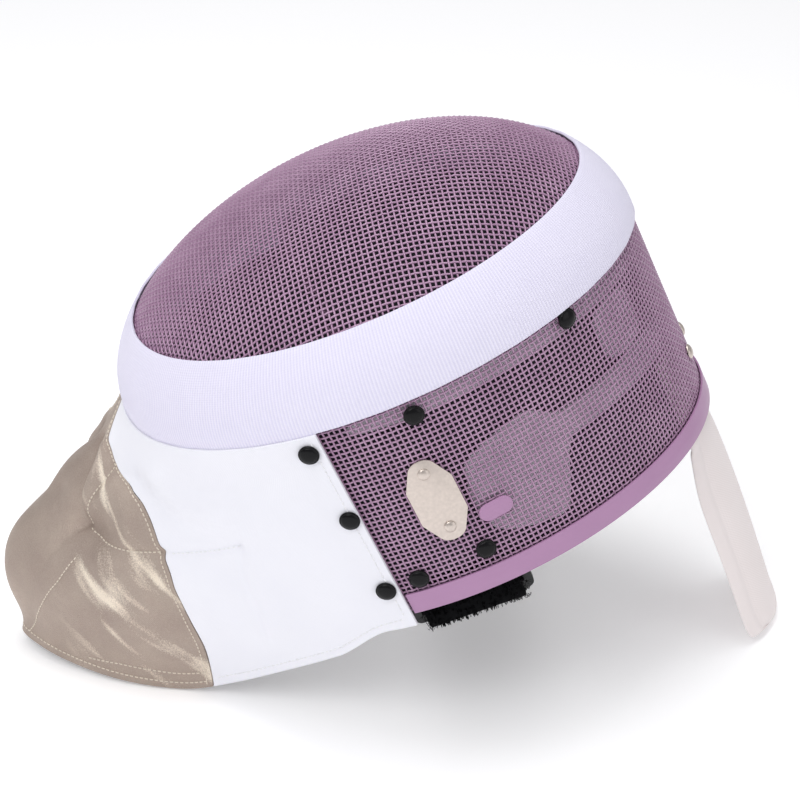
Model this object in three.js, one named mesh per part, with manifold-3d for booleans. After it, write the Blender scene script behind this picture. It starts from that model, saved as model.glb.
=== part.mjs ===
// Fencing mask lying face up: a wire-mesh face dome with an elastic band over its shoulder, a mesh wall
// around the head, a folded metal rim, a cloth bib with a metallic front panel, a padded spring tongue
// and a strap across the back. Millimetres, +Z up. The mask stands on the hem of its bib and on the tip
// of its tongue.
//
// Most pieces are worked out in the mask's own frame: u runs from the chin to the top of the head, y to
// the wearer's right, and f from the head opening to the face. Ring angles start at the top of the head
// and grow towards the wearer's left, which is -Y. The mask's frame is then leaned back onto the floor.

import * as THREE from 'three';
import { mergeVertices } from 'three/addons/utils/BufferGeometryUtils.js';
import Module from 'manifold-3d';

const wasm = await Module();
wasm.setup();

// Pose of the mask over the floor
const LEAN_DEGREES = 20.7;
const FACE_ORIGIN_HEIGHT = 270;

// Face dome: its widest oval lies under the rear edge of the band
const FACE_LENGTH = 309;
const FACE_WIDTH = 243;
const CHIN_FULLNESS = 0.08;
const SHOULDER_DROP = 42.3;
const DOME_HEIGHT = 88;
const DOME_POWER = 1.95;
const APEX_SHIFT = 24.7;
const FACE_CENTRE_SHIFT = -1.7;

// Wall around the head and its rim
const RIM_LENGTH_FLARE = -0.3;
const RIM_WIDTH_FLARE = 4;
const RIM_LENGTH = FACE_LENGTH + RIM_LENGTH_FLARE;
const RIM_WIDTH = FACE_WIDTH + RIM_WIDTH_FLARE;
const RIM_CENTRE_SHIFT = 4.9;
const WALL_DEPTH = 130.2;
const RIM_STRIP_HEIGHT = 13.8;
const RIM_STRIP_THICKNESS = 1.2;
const MESH_THICKNESS = 2;
const WALL_END_ANGLE = 105.4;
const WALL_LAP_ANGLE = 5.5;
const MESH_JOINT_DROP = 30;
const CHIN_SKIRT_DROP = 52;

const BAND_THICKNESS = 1.5;
const BAND_LIFT = 0.7;
const CLOTH_THICKNESS = 2.5;
const LINING_THICKNESS = 4;
const BACKING_THICKNESS = 1.4;
const BACKING_GAP = 0.5;
const GAP = 0.3;

// Bib, as seen from the middle of the front: the hem lies on the floor over its front stretch
const BIB_REACH = 205.5;
const BIB_BULGE = 31.8;
const BIB_DIMPLE_DEPTH = 9;

// Tongue
const TONGUE_WIDTH = 74;
const TONGUE_REACH = 57;
const TONGUE_THICKNESS = 8;
const TONGUE_CUP = 18;
const TONGUE_TWIST_DEGREES = 5;
const TONGUE_ROUND_LENGTH = 64;

// Fittings
const SNAP_RADIUS = 5.8;
const SNAP_HEIGHT = 3;
const RIVET_RADIUS = 4.5;
const PLATE_LENGTH = 54;
const PLATE_WIDTH = 27;
const PLATE_THICKNESS = 0.9;
const PLATE_RIVET_RADIUS = 3.5;
const TAB_LENGTH = 20;
const TAB_WIDTH = 11;
const TAB_THICKNESS = 0.9;
const STRAP_WIDTH = 57;
const STRAP_THICKNESS = 3;
const STRAP_CENTRE = -3;
const STRAP_SAG = 24;
const BUCKLE_LENGTH = 71;
const BUCKLE_HEIGHT = 29;
const BUCKLE_BAR = 5;
const BUCKLE_DROP = 15;
const WEB_TAB_WIDTH = 36;
const WEB_TAB_HEIGHT = 7;
const WEB_TAB_REACH = 5.6;

const material = (color, roughness, metalness) => new THREE.MeshStandardMaterial({ color, roughness, metalness });

const finishes = {
  meshPaint: () => material(0xa87aa4, 0.45, 0.2),
  rimPaint: () => material(0xb084ae, 0.4, 0.1),
  band: () => material(0xe6e3f3, 0.85, 0),
  whiteCloth: () => material(0xf4f4f6, 0.9, 0),
  lame: () => material(0xb2a598, 0.45, 0.5),
  lining: () => material(0xd8d6de, 0.95, 0),
  backing: () => material(0x24242e, 0.95, 0),
  tongue: () => material(0xefece8, 0.8, 0),
  steel: () => material(0xd9cfc6, 0.3, 0.9),
  blackMetal: () => material(0x101012, 0.3, 0.3),
  blackPile: () => material(0x141415, 0.95, 0),
  blackPlastic: () => material(0x0d0d0e, 0.25, 0),
};

const radians = (degrees) => (degrees * Math.PI) / 180;
const mix = (a, b, share) => a + (b - a) * share;
const smooth = (share) => {
  const s = Math.min(1, Math.max(0, share));
  return s * s * (3 - 2 * s);
};

// The mask's own frame over the floor
const lean = radians(LEAN_DEGREES);
const toFloorFrame = (u, y, f) => new THREE.Vector3(
  u * Math.cos(lean) - f * Math.sin(lean),
  y,
  u * Math.sin(lean) + f * Math.cos(lean) + FACE_ORIGIN_HEIGHT,
);

// Height over the band's rear edge at which the dome reaches a share of its full size
const domeShareAtDrop = (drop) => {
  const height = Math.min(1, Math.max(0, (SHOULDER_DROP - drop) / DOME_HEIGHT));
  return (1 - height ** DOME_POWER) ** (1 / DOME_POWER);
};

// Station along the meridian: 0 at the apex, 1 at the band's rear edge, 2 at the foot of the rim
const stationAtDrop = (drop) => (drop >= SHOULDER_DROP
  ? 1 + (drop - SHOULDER_DROP) / WALL_DEPTH
  : domeShareAtDrop(drop));

// Point of the mask's outer surface before leaning
const ovalPoint = (length, width, centre, angle, f) => {
  const turn = radians(angle);
  return new THREE.Vector3(
    centre + (length / 2) * Math.cos(turn),
    -(width / 2) * Math.sin(turn) * (1 - CHIN_FULLNESS * Math.cos(turn)),
    f,
  );
};

const surfacePoint = (angle, station) => {
  if (station <= 1) {
    const height = DOME_HEIGHT * (1 - station ** DOME_POWER) ** (1 / DOME_POWER);
    const centre = FACE_CENTRE_SHIFT + APEX_SHIFT * (1 - station);
    return ovalPoint(FACE_LENGTH * station, FACE_WIDTH * station, centre, angle, height - SHOULDER_DROP);
  }
  const share = station - 1;
  return ovalPoint(
    mix(FACE_LENGTH, RIM_LENGTH, share),
    mix(FACE_WIDTH, RIM_WIDTH, share),
    mix(FACE_CENTRE_SHIFT, RIM_CENTRE_SHIFT, share),
    angle,
    -SHOULDER_DROP - share * WALL_DEPTH,
  );
};

// Outward direction of a surface, from small steps along its two parameters
const NORMAL_STEP = 0.001;
const surfaceNormal = (angle, station) => {
  if (station < 0.01) {
    return new THREE.Vector3(0, 0, 1);
  }
  const low = Math.max(0.005, station - NORMAL_STEP);
  const alongAngle = surfacePoint(angle + 0.5, station).sub(surfacePoint(angle - 0.5, station));
  const alongStation = surfacePoint(angle, station + NORMAL_STEP).sub(surfacePoint(angle, low));
  return alongStation.cross(alongAngle).normalize().negate();
};

const surfaceOffset = (angle, station, offset) => {
  const point = surfacePoint(angle, station).addScaledVector(surfaceNormal(angle, station), offset);
  return toFloorFrame(point.x, point.y, point.z);
};

// Turns a list of points and faces into a closed geometry whose faces point out
const closedGeometry = (points, triangles) => {
  let volume = 0;
  for (const [a, b, c] of triangles) {
    volume += points[a].dot(new THREE.Vector3().crossVectors(points[b], points[c]));
  }
  const facing = volume < 0 ? triangles.map(([a, b, c]) => [a, c, b]) : triangles;
  const geometry = new THREE.BufferGeometry();
  geometry.setAttribute('position', new THREE.Float32BufferAttribute(points.flatMap((p) => [p.x, p.y, p.z]), 3));
  geometry.setIndex(facing.flat());
  geometry.computeVertexNormals();
  return geometry;
};

// Sheet of cloth, metal or mesh: two grids of points, an outer and an inner one, closed round the edges.
// pointAt(row, column, inner) gives a point, with row and column as shares from 0 to 1.
const sheetGeometry = (rows, columns, pointAt, ring = false) => {
  const points = [];
  const columnCount = ring ? columns : columns + 1;
  const grids = [false, true].map((inner) => {
    const grid = [];
    for (let row = 0; row <= rows; row += 1) {
      const line = [];
      for (let column = 0; column < columnCount; column += 1) {
        line.push(points.length);
        points.push(pointAt(row / rows, column / columns, inner));
      }
      if (ring) {
        line.push(line[0]);
      }
      grid.push(line);
    }
    return grid;
  });
  const [outer, inner] = grids;
  const triangles = [];
  const quad = (a, b, c, d) => triangles.push([a, b, c], [a, c, d]);
  for (let row = 0; row < rows; row += 1) {
    for (let column = 0; column < columns; column += 1) {
      quad(outer[row][column], outer[row][column + 1], outer[row + 1][column + 1], outer[row + 1][column]);
      quad(inner[row][column], inner[row + 1][column], inner[row + 1][column + 1], inner[row][column + 1]);
    }
  }
  for (let column = 0; column < columns; column += 1) {
    quad(outer[0][column], inner[0][column], inner[0][column + 1], outer[0][column + 1]);
    quad(outer[rows][column], outer[rows][column + 1], inner[rows][column + 1], inner[rows][column]);
  }
  if (!ring) {
    for (let row = 0; row < rows; row += 1) {
      quad(outer[row][0], outer[row + 1][0], inner[row + 1][0], inner[row][0]);
      quad(outer[row][columns], inner[row][columns], inner[row + 1][columns], outer[row + 1][columns]);
    }
  }
  return closedGeometry(points, triangles);
};

// Dome closed at its apex: rings of points round a single top point, outside and inside
const domeGeometry = (rings, columns, pointAt) => {
  const points = [];
  const triangles = [];
  const quad = (a, b, c, d) => triangles.push([a, b, c], [a, c, d]);
  const skins = [false, true].map((inner) => {
    const apex = points.length;
    points.push(pointAt(0, 0, inner));
    const lines = [];
    for (let ring = 1; ring <= rings; ring += 1) {
      const line = [];
      for (let column = 0; column < columns; column += 1) {
        line.push(points.length);
        points.push(pointAt(ring / rings, column / columns, inner));
      }
      line.push(line[0]);
      lines.push(line);
    }
    return { apex, lines };
  });
  skins.forEach(({ apex, lines }, skin) => {
    for (let column = 0; column < columns; column += 1) {
      const cap = [apex, lines[0][column + 1], lines[0][column]];
      triangles.push(skin === 0 ? cap : [cap[0], cap[2], cap[1]]);
      for (let ring = 0; ring < rings - 1; ring += 1) {
        const corners = [
          lines[ring][column],
          lines[ring][column + 1],
          lines[ring + 1][column + 1],
          lines[ring + 1][column],
        ];
        if (skin === 1) {
          corners.reverse();
        }
        quad(...corners);
      }
    }
  });
  const outerFoot = skins[0].lines[rings - 1];
  const innerFoot = skins[1].lines[rings - 1];
  for (let column = 0; column < columns; column += 1) {
    quad(outerFoot[column], outerFoot[column + 1], innerFoot[column + 1], innerFoot[column]);
  }
  return closedGeometry(points, triangles);
};

// Section carried through a row of stations: section is a list of Vector2, placeAt(station, point)
// gives the point in space
const sweptGeometry = (section, stations, placeAt) => {
  const points = [];
  const triangles = [];
  const lines = stations.map((station) => section.map((corner) => {
    points.push(placeAt(station, corner));
    return points.length - 1;
  }));
  const count = section.length;
  for (let step = 0; step < stations.length - 1; step += 1) {
    for (let corner = 0; corner < count; corner += 1) {
      const next = (corner + 1) % count;
      const [a, b, c, d] = [lines[step][corner], lines[step][next], lines[step + 1][next], lines[step + 1][corner]];
      triangles.push([a, b, c], [a, c, d]);
    }
  }
  const lastLine = lines[lines.length - 1];
  for (const [a, b, c] of THREE.ShapeUtils.triangulateShape(section, [])) {
    const forward = THREE.ShapeUtils.isClockWise(section) ? [a, b, c] : [a, c, b];
    triangles.push(forward.map((corner) => lines[0][corner]));
    triangles.push([forward[0], forward[2], forward[1]].map((corner) => lastLine[corner]));
  }
  return closedGeometry(points, triangles);
};

// Solids for cutting
const toSolid = (geometry) => {
  const bare = geometry.clone();
  bare.deleteAttribute('normal');
  if (bare.getAttribute('uv')) {
    bare.deleteAttribute('uv');
  }
  const merged = mergeVertices(bare, 0.0001);
  return new wasm.Manifold(new wasm.Mesh({
    numProp: 3,
    vertProperties: new Float32Array(merged.attributes.position.array),
    triVerts: new Uint32Array(merged.index.array),
  }));
};

const toGeometry = (solid) => {
  const mesh = solid.getMesh();
  const geometry = new THREE.BufferGeometry();
  geometry.setAttribute('position', new THREE.Float32BufferAttribute(mesh.vertProperties, 3));
  geometry.setIndex(Array.from(mesh.triVerts));
  geometry.computeVertexNormals();
  return geometry;
};

const mask = new THREE.Group();
const addPiece = (name, geometry, finish) => {
  const mesh = new THREE.Mesh(geometry, finish);
  mesh.name = name;
  mask.add(mesh);
  return mesh;
};

// Face mesh: the dome, with a skirt that reaches deeper at the chin, where no side mesh takes over
const FACE_COLUMN_DEGREES = 7.5;
const skirtStart = Math.ceil((WALL_END_ANGLE + WALL_LAP_ANGLE) / FACE_COLUMN_DEGREES) * FACE_COLUMN_DEGREES + 0.1;
const skirtDrop = (angle) => {
  const fromTop = Math.abs(((angle + 180) % 360 + 360) % 360 - 180);
  return fromTop > skirtStart ? CHIN_SKIRT_DROP : MESH_JOINT_DROP;
};

const FACE_RINGS = 10;
const FACE_COLUMNS = 360 / FACE_COLUMN_DEGREES;
const faceStation = (share, angle) => {
  const foot = stationAtDrop(skirtDrop(angle));
  const domeRings = FACE_RINGS - 2;
  const ring = share * FACE_RINGS;
  const collar = stationAtDrop(12);
  if (ring <= domeRings) {
    return collar * Math.sin((Math.PI / 2) * 0.9 * (ring / domeRings)) / Math.sin((Math.PI / 2) * 0.9);
  }
  return mix(collar, foot, (ring - domeRings) / 2);
};
addPiece('face_mesh', domeGeometry(FACE_RINGS, FACE_COLUMNS, (ring, column, inner) => {
  const angle = column * 360;
  return surfaceOffset(angle, faceStation(ring, angle), inner ? -MESH_THICKNESS : 0);
}), finishes.meshPaint());

// Side mesh: wraps the top of the head and both temples, open at the chin
const wallAngle = WALL_END_ANGLE + WALL_LAP_ANGLE;
const wallTopStation = stationAtDrop(MESH_JOINT_DROP + GAP + 0.1);
const wallFootStation = 2 - 1.6 / WALL_DEPTH;
addPiece('side_mesh', sheetGeometry(6, 44, (row, column, inner) => {
  const station = row === 0 ? wallTopStation : mix(stationAtDrop(SHOULDER_DROP), wallFootStation, (row * 6 - 1) / 5);
  return surfaceOffset(mix(-wallAngle, wallAngle, column), station, inner ? -MESH_THICKNESS : 0);
}), finishes.meshPaint());

// Elastic band over the joint of the two meshes
addPiece('elastic_band', sheetGeometry(6, FACE_COLUMNS, (row, column, inner) => {
  const station = stationAtDrop(mix(0, SHOULDER_DROP, row));
  return surfaceOffset(column * 360, station, inner ? BAND_LIFT : BAND_LIFT + BAND_THICKNESS);
}, true), finishes.band());

// Rim: a strip of metal folded over the foot of the side mesh
const rimTop = WALL_DEPTH - RIM_STRIP_HEIGHT;
const innerFace = -MESH_THICKNESS - GAP;
const rimSection = [
  [GAP + RIM_STRIP_THICKNESS, rimTop],
  [GAP + RIM_STRIP_THICKNESS, WALL_DEPTH - 0.8],
  [GAP + 0.3, WALL_DEPTH],
  [innerFace - 0.3, WALL_DEPTH],
  [innerFace - RIM_STRIP_THICKNESS, WALL_DEPTH - 0.8],
  [innerFace - RIM_STRIP_THICKNESS, rimTop + 2],
  [innerFace, rimTop + 2],
  [innerFace, WALL_DEPTH - 1.2],
  [GAP, WALL_DEPTH - 1.2],
  [GAP, rimTop],
].map(([offset, depth]) => new THREE.Vector2(offset, depth));
const RIM_STEPS = 44;
const rimEnd = WALL_END_ANGLE - 0.5;
const rimStations = Array.from({ length: RIM_STEPS + 1 }, (_, step) => mix(-rimEnd, rimEnd, step / RIM_STEPS));
addPiece('rim_strip', sweptGeometry(rimSection, rimStations, (angle, corner) => (
  surfaceOffset(angle, 1 + corner.y / WALL_DEPTH, corner.x)
)), finishes.rimPaint());

// Bib. The near half is worked out from the wall's end round to the middle of the chin and mirrored.
// Hem table: place along the half (0 at the wall's end, 1 at the chin), how far forward (share of the
// bib's reach), to the side (share of half the rim's width) and up (share of the face's height) the hem
// is, and how far the cloth bulges out between band and hem (share of the full bulge).
const bibHem = [
  { place: 0, forward: -0.131, side: 0.996, height: 0.333, bulge: 0 },
  { place: 0.118, forward: -0.027, side: 0.883, height: 0.246, bulge: 0.06 },
  { place: 0.241, forward: 0.106, side: 0.777, height: 0.174, bulge: 0.09 },
  { place: 0.355, forward: 0.231, side: 0.672, height: 0.111, bulge: 0.13 },
  { place: 0.472, forward: 0.363, side: 0.567, height: 0.05, bulge: 0.19 },
  { place: 0.572, forward: 0.487, side: 0.486, height: 0.009, bulge: 0.28 },
  { place: 0.655, forward: 0.602, side: 0.445, height: 0.006, bulge: 0.38 },
  { place: 0.741, forward: 0.72, side: 0.381, height: 0.011, bulge: 0.5 },
  { place: 0.836, forward: 0.839, side: 0.275, height: 0.0185, bulge: 0.66 },
  { place: 0.922, forward: 0.938, side: 0.154, height: 0.028, bulge: 0.82 },
  { place: 1, forward: 1, side: 0, height: 0.03, bulge: 1 },
];
const mirroredHem = [
  ...bibHem,
  ...bibHem.slice(0, -1).reverse().map((row) => ({ ...row, place: 2 - row.place, side: -row.side })),
];

// Smooth curve through one column of a table, read at a value of its key column
const curveThrough = (rows, key, column, value) => {
  const found = rows.findIndex((row) => row[key] > value) - 1;
  const index = found < 0 ? (value <= rows[0][key] ? 0 : rows.length - 2) : found;
  const at = (i) => rows[Math.min(rows.length - 1, Math.max(0, i))];
  const [before, start, end, after] = [at(index - 1), at(index), at(index + 1), at(index + 2)];
  const span = end[key] - start[key];
  const share = (value - start[key]) / span;
  const slopeStart = (end[column] - before[column]) / (end[key] - before[key]) * span;
  const slopeEnd = (after[column] - start[column]) / (after[key] - start[key]) * span;
  const s2 = share * share;
  const s3 = s2 * share;
  return (2 * s3 - 3 * s2 + 1) * start[column] + (s3 - 2 * s2 + share) * slopeStart
    + (3 * s2 - 2 * s3) * end[column] + (s3 - s2) * slopeEnd;
};
const hemValue = (place, column) => curveThrough(mirroredHem, 'place', column, place);

// Folds of the front panel: a pinched dart on each side and the roll above it
const DIMPLE_PLACE = 0.8;
const DIMPLE_FALL = 0.43;
const bibRelief = (place, fall) => {
  const half = place > 1 ? 2 - place : place;
  const across = (half - DIMPLE_PLACE) / 0.09;
  const down = (fall - DIMPLE_FALL) / 0.08;
  const dimple = -BIB_DIMPLE_DEPTH * Math.exp(-(across * across + down * down));
  const roll = 3 * Math.exp(-(((fall - 0.29) / 0.07) ** 2)) * smooth((half - 0.6) / 0.2);
  return dimple + roll;
};

const LAP_LIFT = 0.9;
const BIB_FOOT_STATION = 2.05;
const bibTopStation = stationAtDrop(SHOULDER_DROP + 0.6);
const bibMiddle = (place, fall) => {
  const angle = mix(WALL_END_ANGLE, 360 - WALL_END_ANGLE, place / 2);
  const lapOffset = LAP_LIFT + CLOTH_THICKNESS / 2;
  const top = surfaceOffset(angle, bibTopStation, lapOffset);
  const alongWall = surfaceOffset(angle, mix(bibTopStation, BIB_FOOT_STATION, fall), lapOffset);
  const hem = new THREE.Vector3(
    -hemValue(place, 'forward') * BIB_REACH,
    -hemValue(place, 'side') * (RIM_WIDTH / 2),
    hemValue(place, 'height') * FACE_ORIGIN_HEIGHT,
  );
  const point = top.clone().lerp(hem, fall);
  const outward = new THREE.Vector3(Math.cos(radians(angle)), -Math.sin(radians(angle)), 0);
  const swell = Math.max(0, Math.sin(Math.PI * fall ** 1.35)) ** 1.64;
  const relief = bibRelief(place, fall) * smooth(fall / 0.15) * smooth((1 - fall) / 0.15);
  point.addScaledVector(outward, hemValue(place, 'bulge') * BIB_BULGE * swell + relief);
  const half = place > 1 ? 2 - place : place;
  const onWall = 1 - smooth((half - 0.085) / 0.12);
  return point.lerp(alongWall, onWall);
};

const bibPoint = (place, fall, offset) => {
  const step = 0.004;
  const placeLow = Math.max(0, place - step);
  const placeHigh = Math.min(2, place + step);
  const fallLow = Math.max(0, fall - step);
  const fallHigh = Math.min(1, fall + step);
  const across = bibMiddle(placeHigh, fall).sub(bibMiddle(placeLow, fall));
  const down = bibMiddle(place, fallHigh).sub(bibMiddle(place, fallLow));
  const normal = across.cross(down).normalize();
  const point = bibMiddle(place, fall).addScaledVector(normal, offset);
  point.z = Math.max(point.z, 0);
  return point;
};

// Seam between the white cloth and the metallic front panel: place along the half at each fall
const frontSeam = [
  { fall: 0, place: 0.965 },
  { fall: 0.07, place: 0.95 },
  { fall: 0.13, place: 0.9 },
  { fall: 0.19, place: 0.76 },
  { fall: 0.26, place: 0.65 },
  { fall: 0.41, place: 0.575 },
  { fall: 0.6, place: 0.535 },
  { fall: 0.8, place: 0.515 },
  { fall: 1, place: 0.525 },
];
const seamPlace = (fall) => curveThrough(frontSeam, 'fall', 'place', fall);
const SEAM_GAP = 0.004;

const halfCloth = CLOTH_THICKNESS / 2;
addPiece('bib_front_panel', sheetGeometry(12, 20, (row, column, inner) => {
  const from = seamPlace(row) + SEAM_GAP;
  return bibPoint(mix(from, 2 - from, column), row, inner ? -halfCloth : halfCloth);
}), finishes.lame());
addPiece('bib_side_left', sheetGeometry(12, 9, (row, column, inner) => (
  bibPoint(mix(0, seamPlace(row) - SEAM_GAP, column), row, inner ? -halfCloth : halfCloth)
)), finishes.whiteCloth());
addPiece('bib_side_right', sheetGeometry(12, 9, (row, column, inner) => (
  bibPoint(mix(2, 2 - seamPlace(row) + SEAM_GAP, column), row, inner ? halfCloth : -halfCloth)
)), finishes.whiteCloth());

// Padded lining strips inside the side mesh. Each row: name, first and last angle, first and last share
// of the wall's depth.
const liningFace = -MESH_THICKNESS - GAP - 0.2;
const liningStrips = [
  { name: 'lining_upper', from: -101, to: 101, top: 0.01, foot: 0.12 },
  { name: 'lining_middle', from: -84, to: 84, top: 0.4, foot: 0.55 },
  { name: 'lining_temple_left', from: 84.4, to: 101, top: 0.124, foot: 0.86 },
  { name: 'lining_temple_right', from: -101, to: -84.4, top: 0.124, foot: 0.86 },
  { name: 'lining_back_left', from: 26, to: 42, top: 0.124, foot: 0.396 },
  { name: 'lining_back_right', from: -42, to: -26, top: 0.124, foot: 0.396 },
];
for (const strip of liningStrips) {
  const columns = Math.max(3, Math.round((strip.to - strip.from) / 8));
  addPiece(strip.name, sheetGeometry(3, columns, (row, column, inner) => {
    const station = 1 + mix(strip.top, strip.foot, row);
    const angle = mix(strip.from, strip.to, column);
    return surfaceOffset(angle, station, inner ? liningFace - LINING_THICKNESS : liningFace);
  }), finishes.lining());
}

// Dark backing cloth behind the strips and across the windows between them
const backingFace = liningFace - LINING_THICKNESS - BACKING_GAP;
const backingInside = -backingFace + BACKING_THICKNESS;
const liningBacks = [
  { name: 'lining_backing_top', from: -24.6, to: 24.6, top: 0.02, foot: 0.6 },
  { name: 'lining_backing_left', from: 25, to: 101, top: 0.02, foot: 0.86 },
  { name: 'lining_backing_right', from: -101, to: -25, top: 0.02, foot: 0.86 },
];
for (const back of liningBacks) {
  const columns = Math.round((back.to - back.from) / 5);
  addPiece(back.name, sheetGeometry(3, columns, (row, column, inner) => {
    const station = 1 + mix(back.top, back.foot, row);
    const angle = mix(back.from, back.to, column);
    return surfaceOffset(angle, station, inner ? -backingInside : backingFace);
  }), finishes.backing());
}

// Spring tongue: a padded, cupped pad from inside the top of the wall down to the floor.
// Its outer ridge starts against the backing. Depth is a share of the wall's depth, clear is the
// distance to the backing, and cup is the depth of the cup as a share.
const tongueRoot = [
  { depth: 0.531, clear: 0.5, cup: 0.46 },
  { depth: 0.766, clear: 1, cup: 0.46 },
  { depth: 0.989, clear: 0.5, cup: 0.5 },
];
// From there it runs out past the rim: out is a share of its reach from the foot of the rim, height a
// share of that foot's height.
const tongueRun = [
  { out: 0.053, height: 0.897, cup: 0.75 },
  { out: 0.333, height: 0.679, cup: 1 },
  { out: 0.614, height: 0.424, cup: 1 },
  { out: 0.895, height: 0.1455, cup: 0.95 },
  { out: 1, height: 0.0424, cup: 0.9 },
  { out: 0.982, height: -0.0121, cup: 0.85 },
];
const crownFoot = surfaceOffset(0, 2, 0);
const ridge = new THREE.CatmullRomCurve3(
  [
    ...tongueRoot.map((row) => {
      const at = surfaceOffset(0, 1 + row.depth, -backingInside - row.clear);
      return new THREE.Vector3(at.x, row.cup * 100, at.z);
    }),
    ...tongueRun.map((row) => (
      new THREE.Vector3(crownFoot.x + row.out * TONGUE_REACH, row.cup * 100, crownFoot.z * row.height)
    )),
  ],
  false,
  'centripetal',
);
const tongueShell = sheetGeometry(20, 8, (row, column, inner) => {
  const share = row;
  const at = ridge.getPoint(share);
  const along = ridge.getPoint(Math.min(1, share + 0.01)).sub(ridge.getPoint(Math.max(0, share - 0.01)));
  along.y = 0;
  along.normalize();
  const outward = new THREE.Vector3(-along.z, 0, along.x);
  const length = ridge.getLength();
  const toTip = (1 - share) * length;
  const twist = radians(TONGUE_TWIST_DEGREES) * smooth((share - 0.3) / 0.2);
  const round = Math.sqrt(Math.max(0.02, 1 - Math.max(0, 1 - toTip / TONGUE_ROUND_LENGTH) ** 2));
  const across = column * 2 - 1;
  const side = (TONGUE_WIDTH / 2) * round * across;
  const cup = TONGUE_CUP * (at.y / 100) * (side / (TONGUE_WIDTH / 2)) ** 2;
  const edge = Math.sqrt(Math.max(0, 1 - across ** 6));
  const tip = Math.min(1, 0.35 + toTip / 14);
  const thickness = mix(2.2, TONGUE_THICKNESS, edge) * tip;
  const roundedFace = (TONGUE_THICKNESS * (1 - edge)) / 3;
  const depth = cup + roundedFace + (inner ? thickness : 0);
  const turnedSide = side * Math.cos(twist) - depth * Math.sin(twist);
  const turnedDepth = depth * Math.cos(twist) - side * Math.sin(twist);
  return new THREE.Vector3(at.x, turnedSide, at.z).addScaledVector(outward, -turnedDepth);
});
const FLOOR_BLOCK = 40;
const floorBlock = new THREE.BoxGeometry(FACE_LENGTH, FACE_WIDTH, FLOOR_BLOCK)
  .translate(crownFoot.x + TONGUE_REACH, 0, -FLOOR_BLOCK / 2);
addPiece('tongue', toGeometry(toSolid(tongueShell).subtract(toSolid(floorBlock))), finishes.tongue());

// Round-headed fittings standing on the mask's surface
const buttonGeometry = (radius, height) => new THREE.LatheGeometry([
  new THREE.Vector2(0, 0),
  new THREE.Vector2(radius * 0.96, 0),
  new THREE.Vector2(radius, height * 0.22),
  new THREE.Vector2(radius * 0.9, height * 0.55),
  new THREE.Vector2(radius * 0.6, height * 0.88),
  new THREE.Vector2(0, height),
], 14);

const standOn = (mesh, foot, direction) => {
  mesh.position.copy(foot);
  mesh.quaternion.setFromUnitVectors(new THREE.Vector3(0, 1, 0), direction);
};

const outwardAt = (angle, station) => (
  surfaceOffset(angle, station, 1).sub(surfaceOffset(angle, station, 0)).normalize()
);

// Snaps. Each row: name, ring angle, share of the wall's depth, and whether it stands on the bib.
const snaps = [
  { name: 'snap_bib_upper', angle: 108.4, depth: 0.083, onBib: true },
  { name: 'snap_bib_middle', angle: 107.4, depth: 0.441, onBib: true },
  { name: 'snap_bib_lower', angle: 107.8, depth: 0.832, onBib: true },
  { name: 'snap_temple', angle: 86.2, depth: 0.078, onBib: false },
  { name: 'snap_crown', angle: 48.8, depth: 0.045, onBib: false },
  { name: 'snap_strap', angle: 85.4, depth: 0.804, onBib: false },
  { name: 'snap_rim', angle: 100.6, depth: 0.831, onBib: false },
];
for (const [side, turn] of [['left', 1], ['right', -1]]) {
  for (const snap of snaps) {
    const station = 1 + snap.depth;
    const lift = snap.onBib ? LAP_LIFT + CLOTH_THICKNESS + GAP : GAP;
    const piece = addPiece(`${snap.name}_${side}`, buttonGeometry(SNAP_RADIUS, SNAP_HEIGHT), finishes.blackMetal());
    const angle = snap.angle * turn;
    standOn(piece, surfaceOffset(angle, station, lift), outwardAt(angle, station));
  }
}

// Rivets that hold the tongue's spring
for (const [side, turn] of [['left', 1], ['right', -1]]) {
  const piece = addPiece(`tongue_rivet_${side}`, buttonGeometry(RIVET_RADIUS, 2.4), finishes.steel());
  const station = 1 + 0.735;
  standOn(piece, surfaceOffset(7 * turn, station, GAP), outwardAt(7 * turn, station));
}

// Flat fittings on the left wall: extruded along the wall's normal
const flatFitting = (name, shape, thickness, angle, station, lift, finish) => {
  const geometry = new THREE.ExtrudeGeometry(shape, { depth: thickness, bevelEnabled: false, curveSegments: 6 });
  const foot = surfaceOffset(angle, station, lift);
  const outward = outwardAt(angle, station);
  const down = surfaceOffset(angle, station + 0.05, lift).sub(surfaceOffset(angle, station - 0.05, lift));
  down.addScaledVector(outward, -down.dot(outward)).normalize();
  const across = new THREE.Vector3().crossVectors(outward, down);
  const piece = addPiece(name, geometry, finish);
  piece.quaternion.setFromRotationMatrix(new THREE.Matrix4().makeBasis(across, down.clone().negate(), outward));
  piece.position.copy(foot);
  return { foot, outward, down };
};

const plateOutline = () => {
  const halfLength = PLATE_LENGTH / 2;
  const halfWidth = PLATE_WIDTH / 2;
  const shape = new THREE.Shape();
  shape.moveTo(-halfWidth, halfLength * 0.42);
  shape.lineTo(-halfWidth * 0.55, halfLength * 0.86);
  shape.quadraticCurveTo(-halfWidth * 0.38, halfLength, 0, halfLength);
  shape.quadraticCurveTo(halfWidth * 0.38, halfLength, halfWidth * 0.55, halfLength * 0.86);
  shape.lineTo(halfWidth, halfLength * 0.42);
  shape.lineTo(halfWidth, -halfLength * 0.42);
  shape.lineTo(halfWidth * 0.55, -halfLength * 0.86);
  shape.quadraticCurveTo(halfWidth * 0.38, -halfLength, 0, -halfLength);
  shape.quadraticCurveTo(-halfWidth * 0.38, -halfLength, -halfWidth * 0.55, -halfLength * 0.86);
  shape.lineTo(-halfWidth, -halfLength * 0.42);
  shape.closePath();
  return shape;
};
const PLATE_ANGLE = 89.8;
const PLATE_STATION = 1.493;
const plate = flatFitting('side_plate', plateOutline(), PLATE_THICKNESS, PLATE_ANGLE, PLATE_STATION, GAP, finishes.steel());
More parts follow.
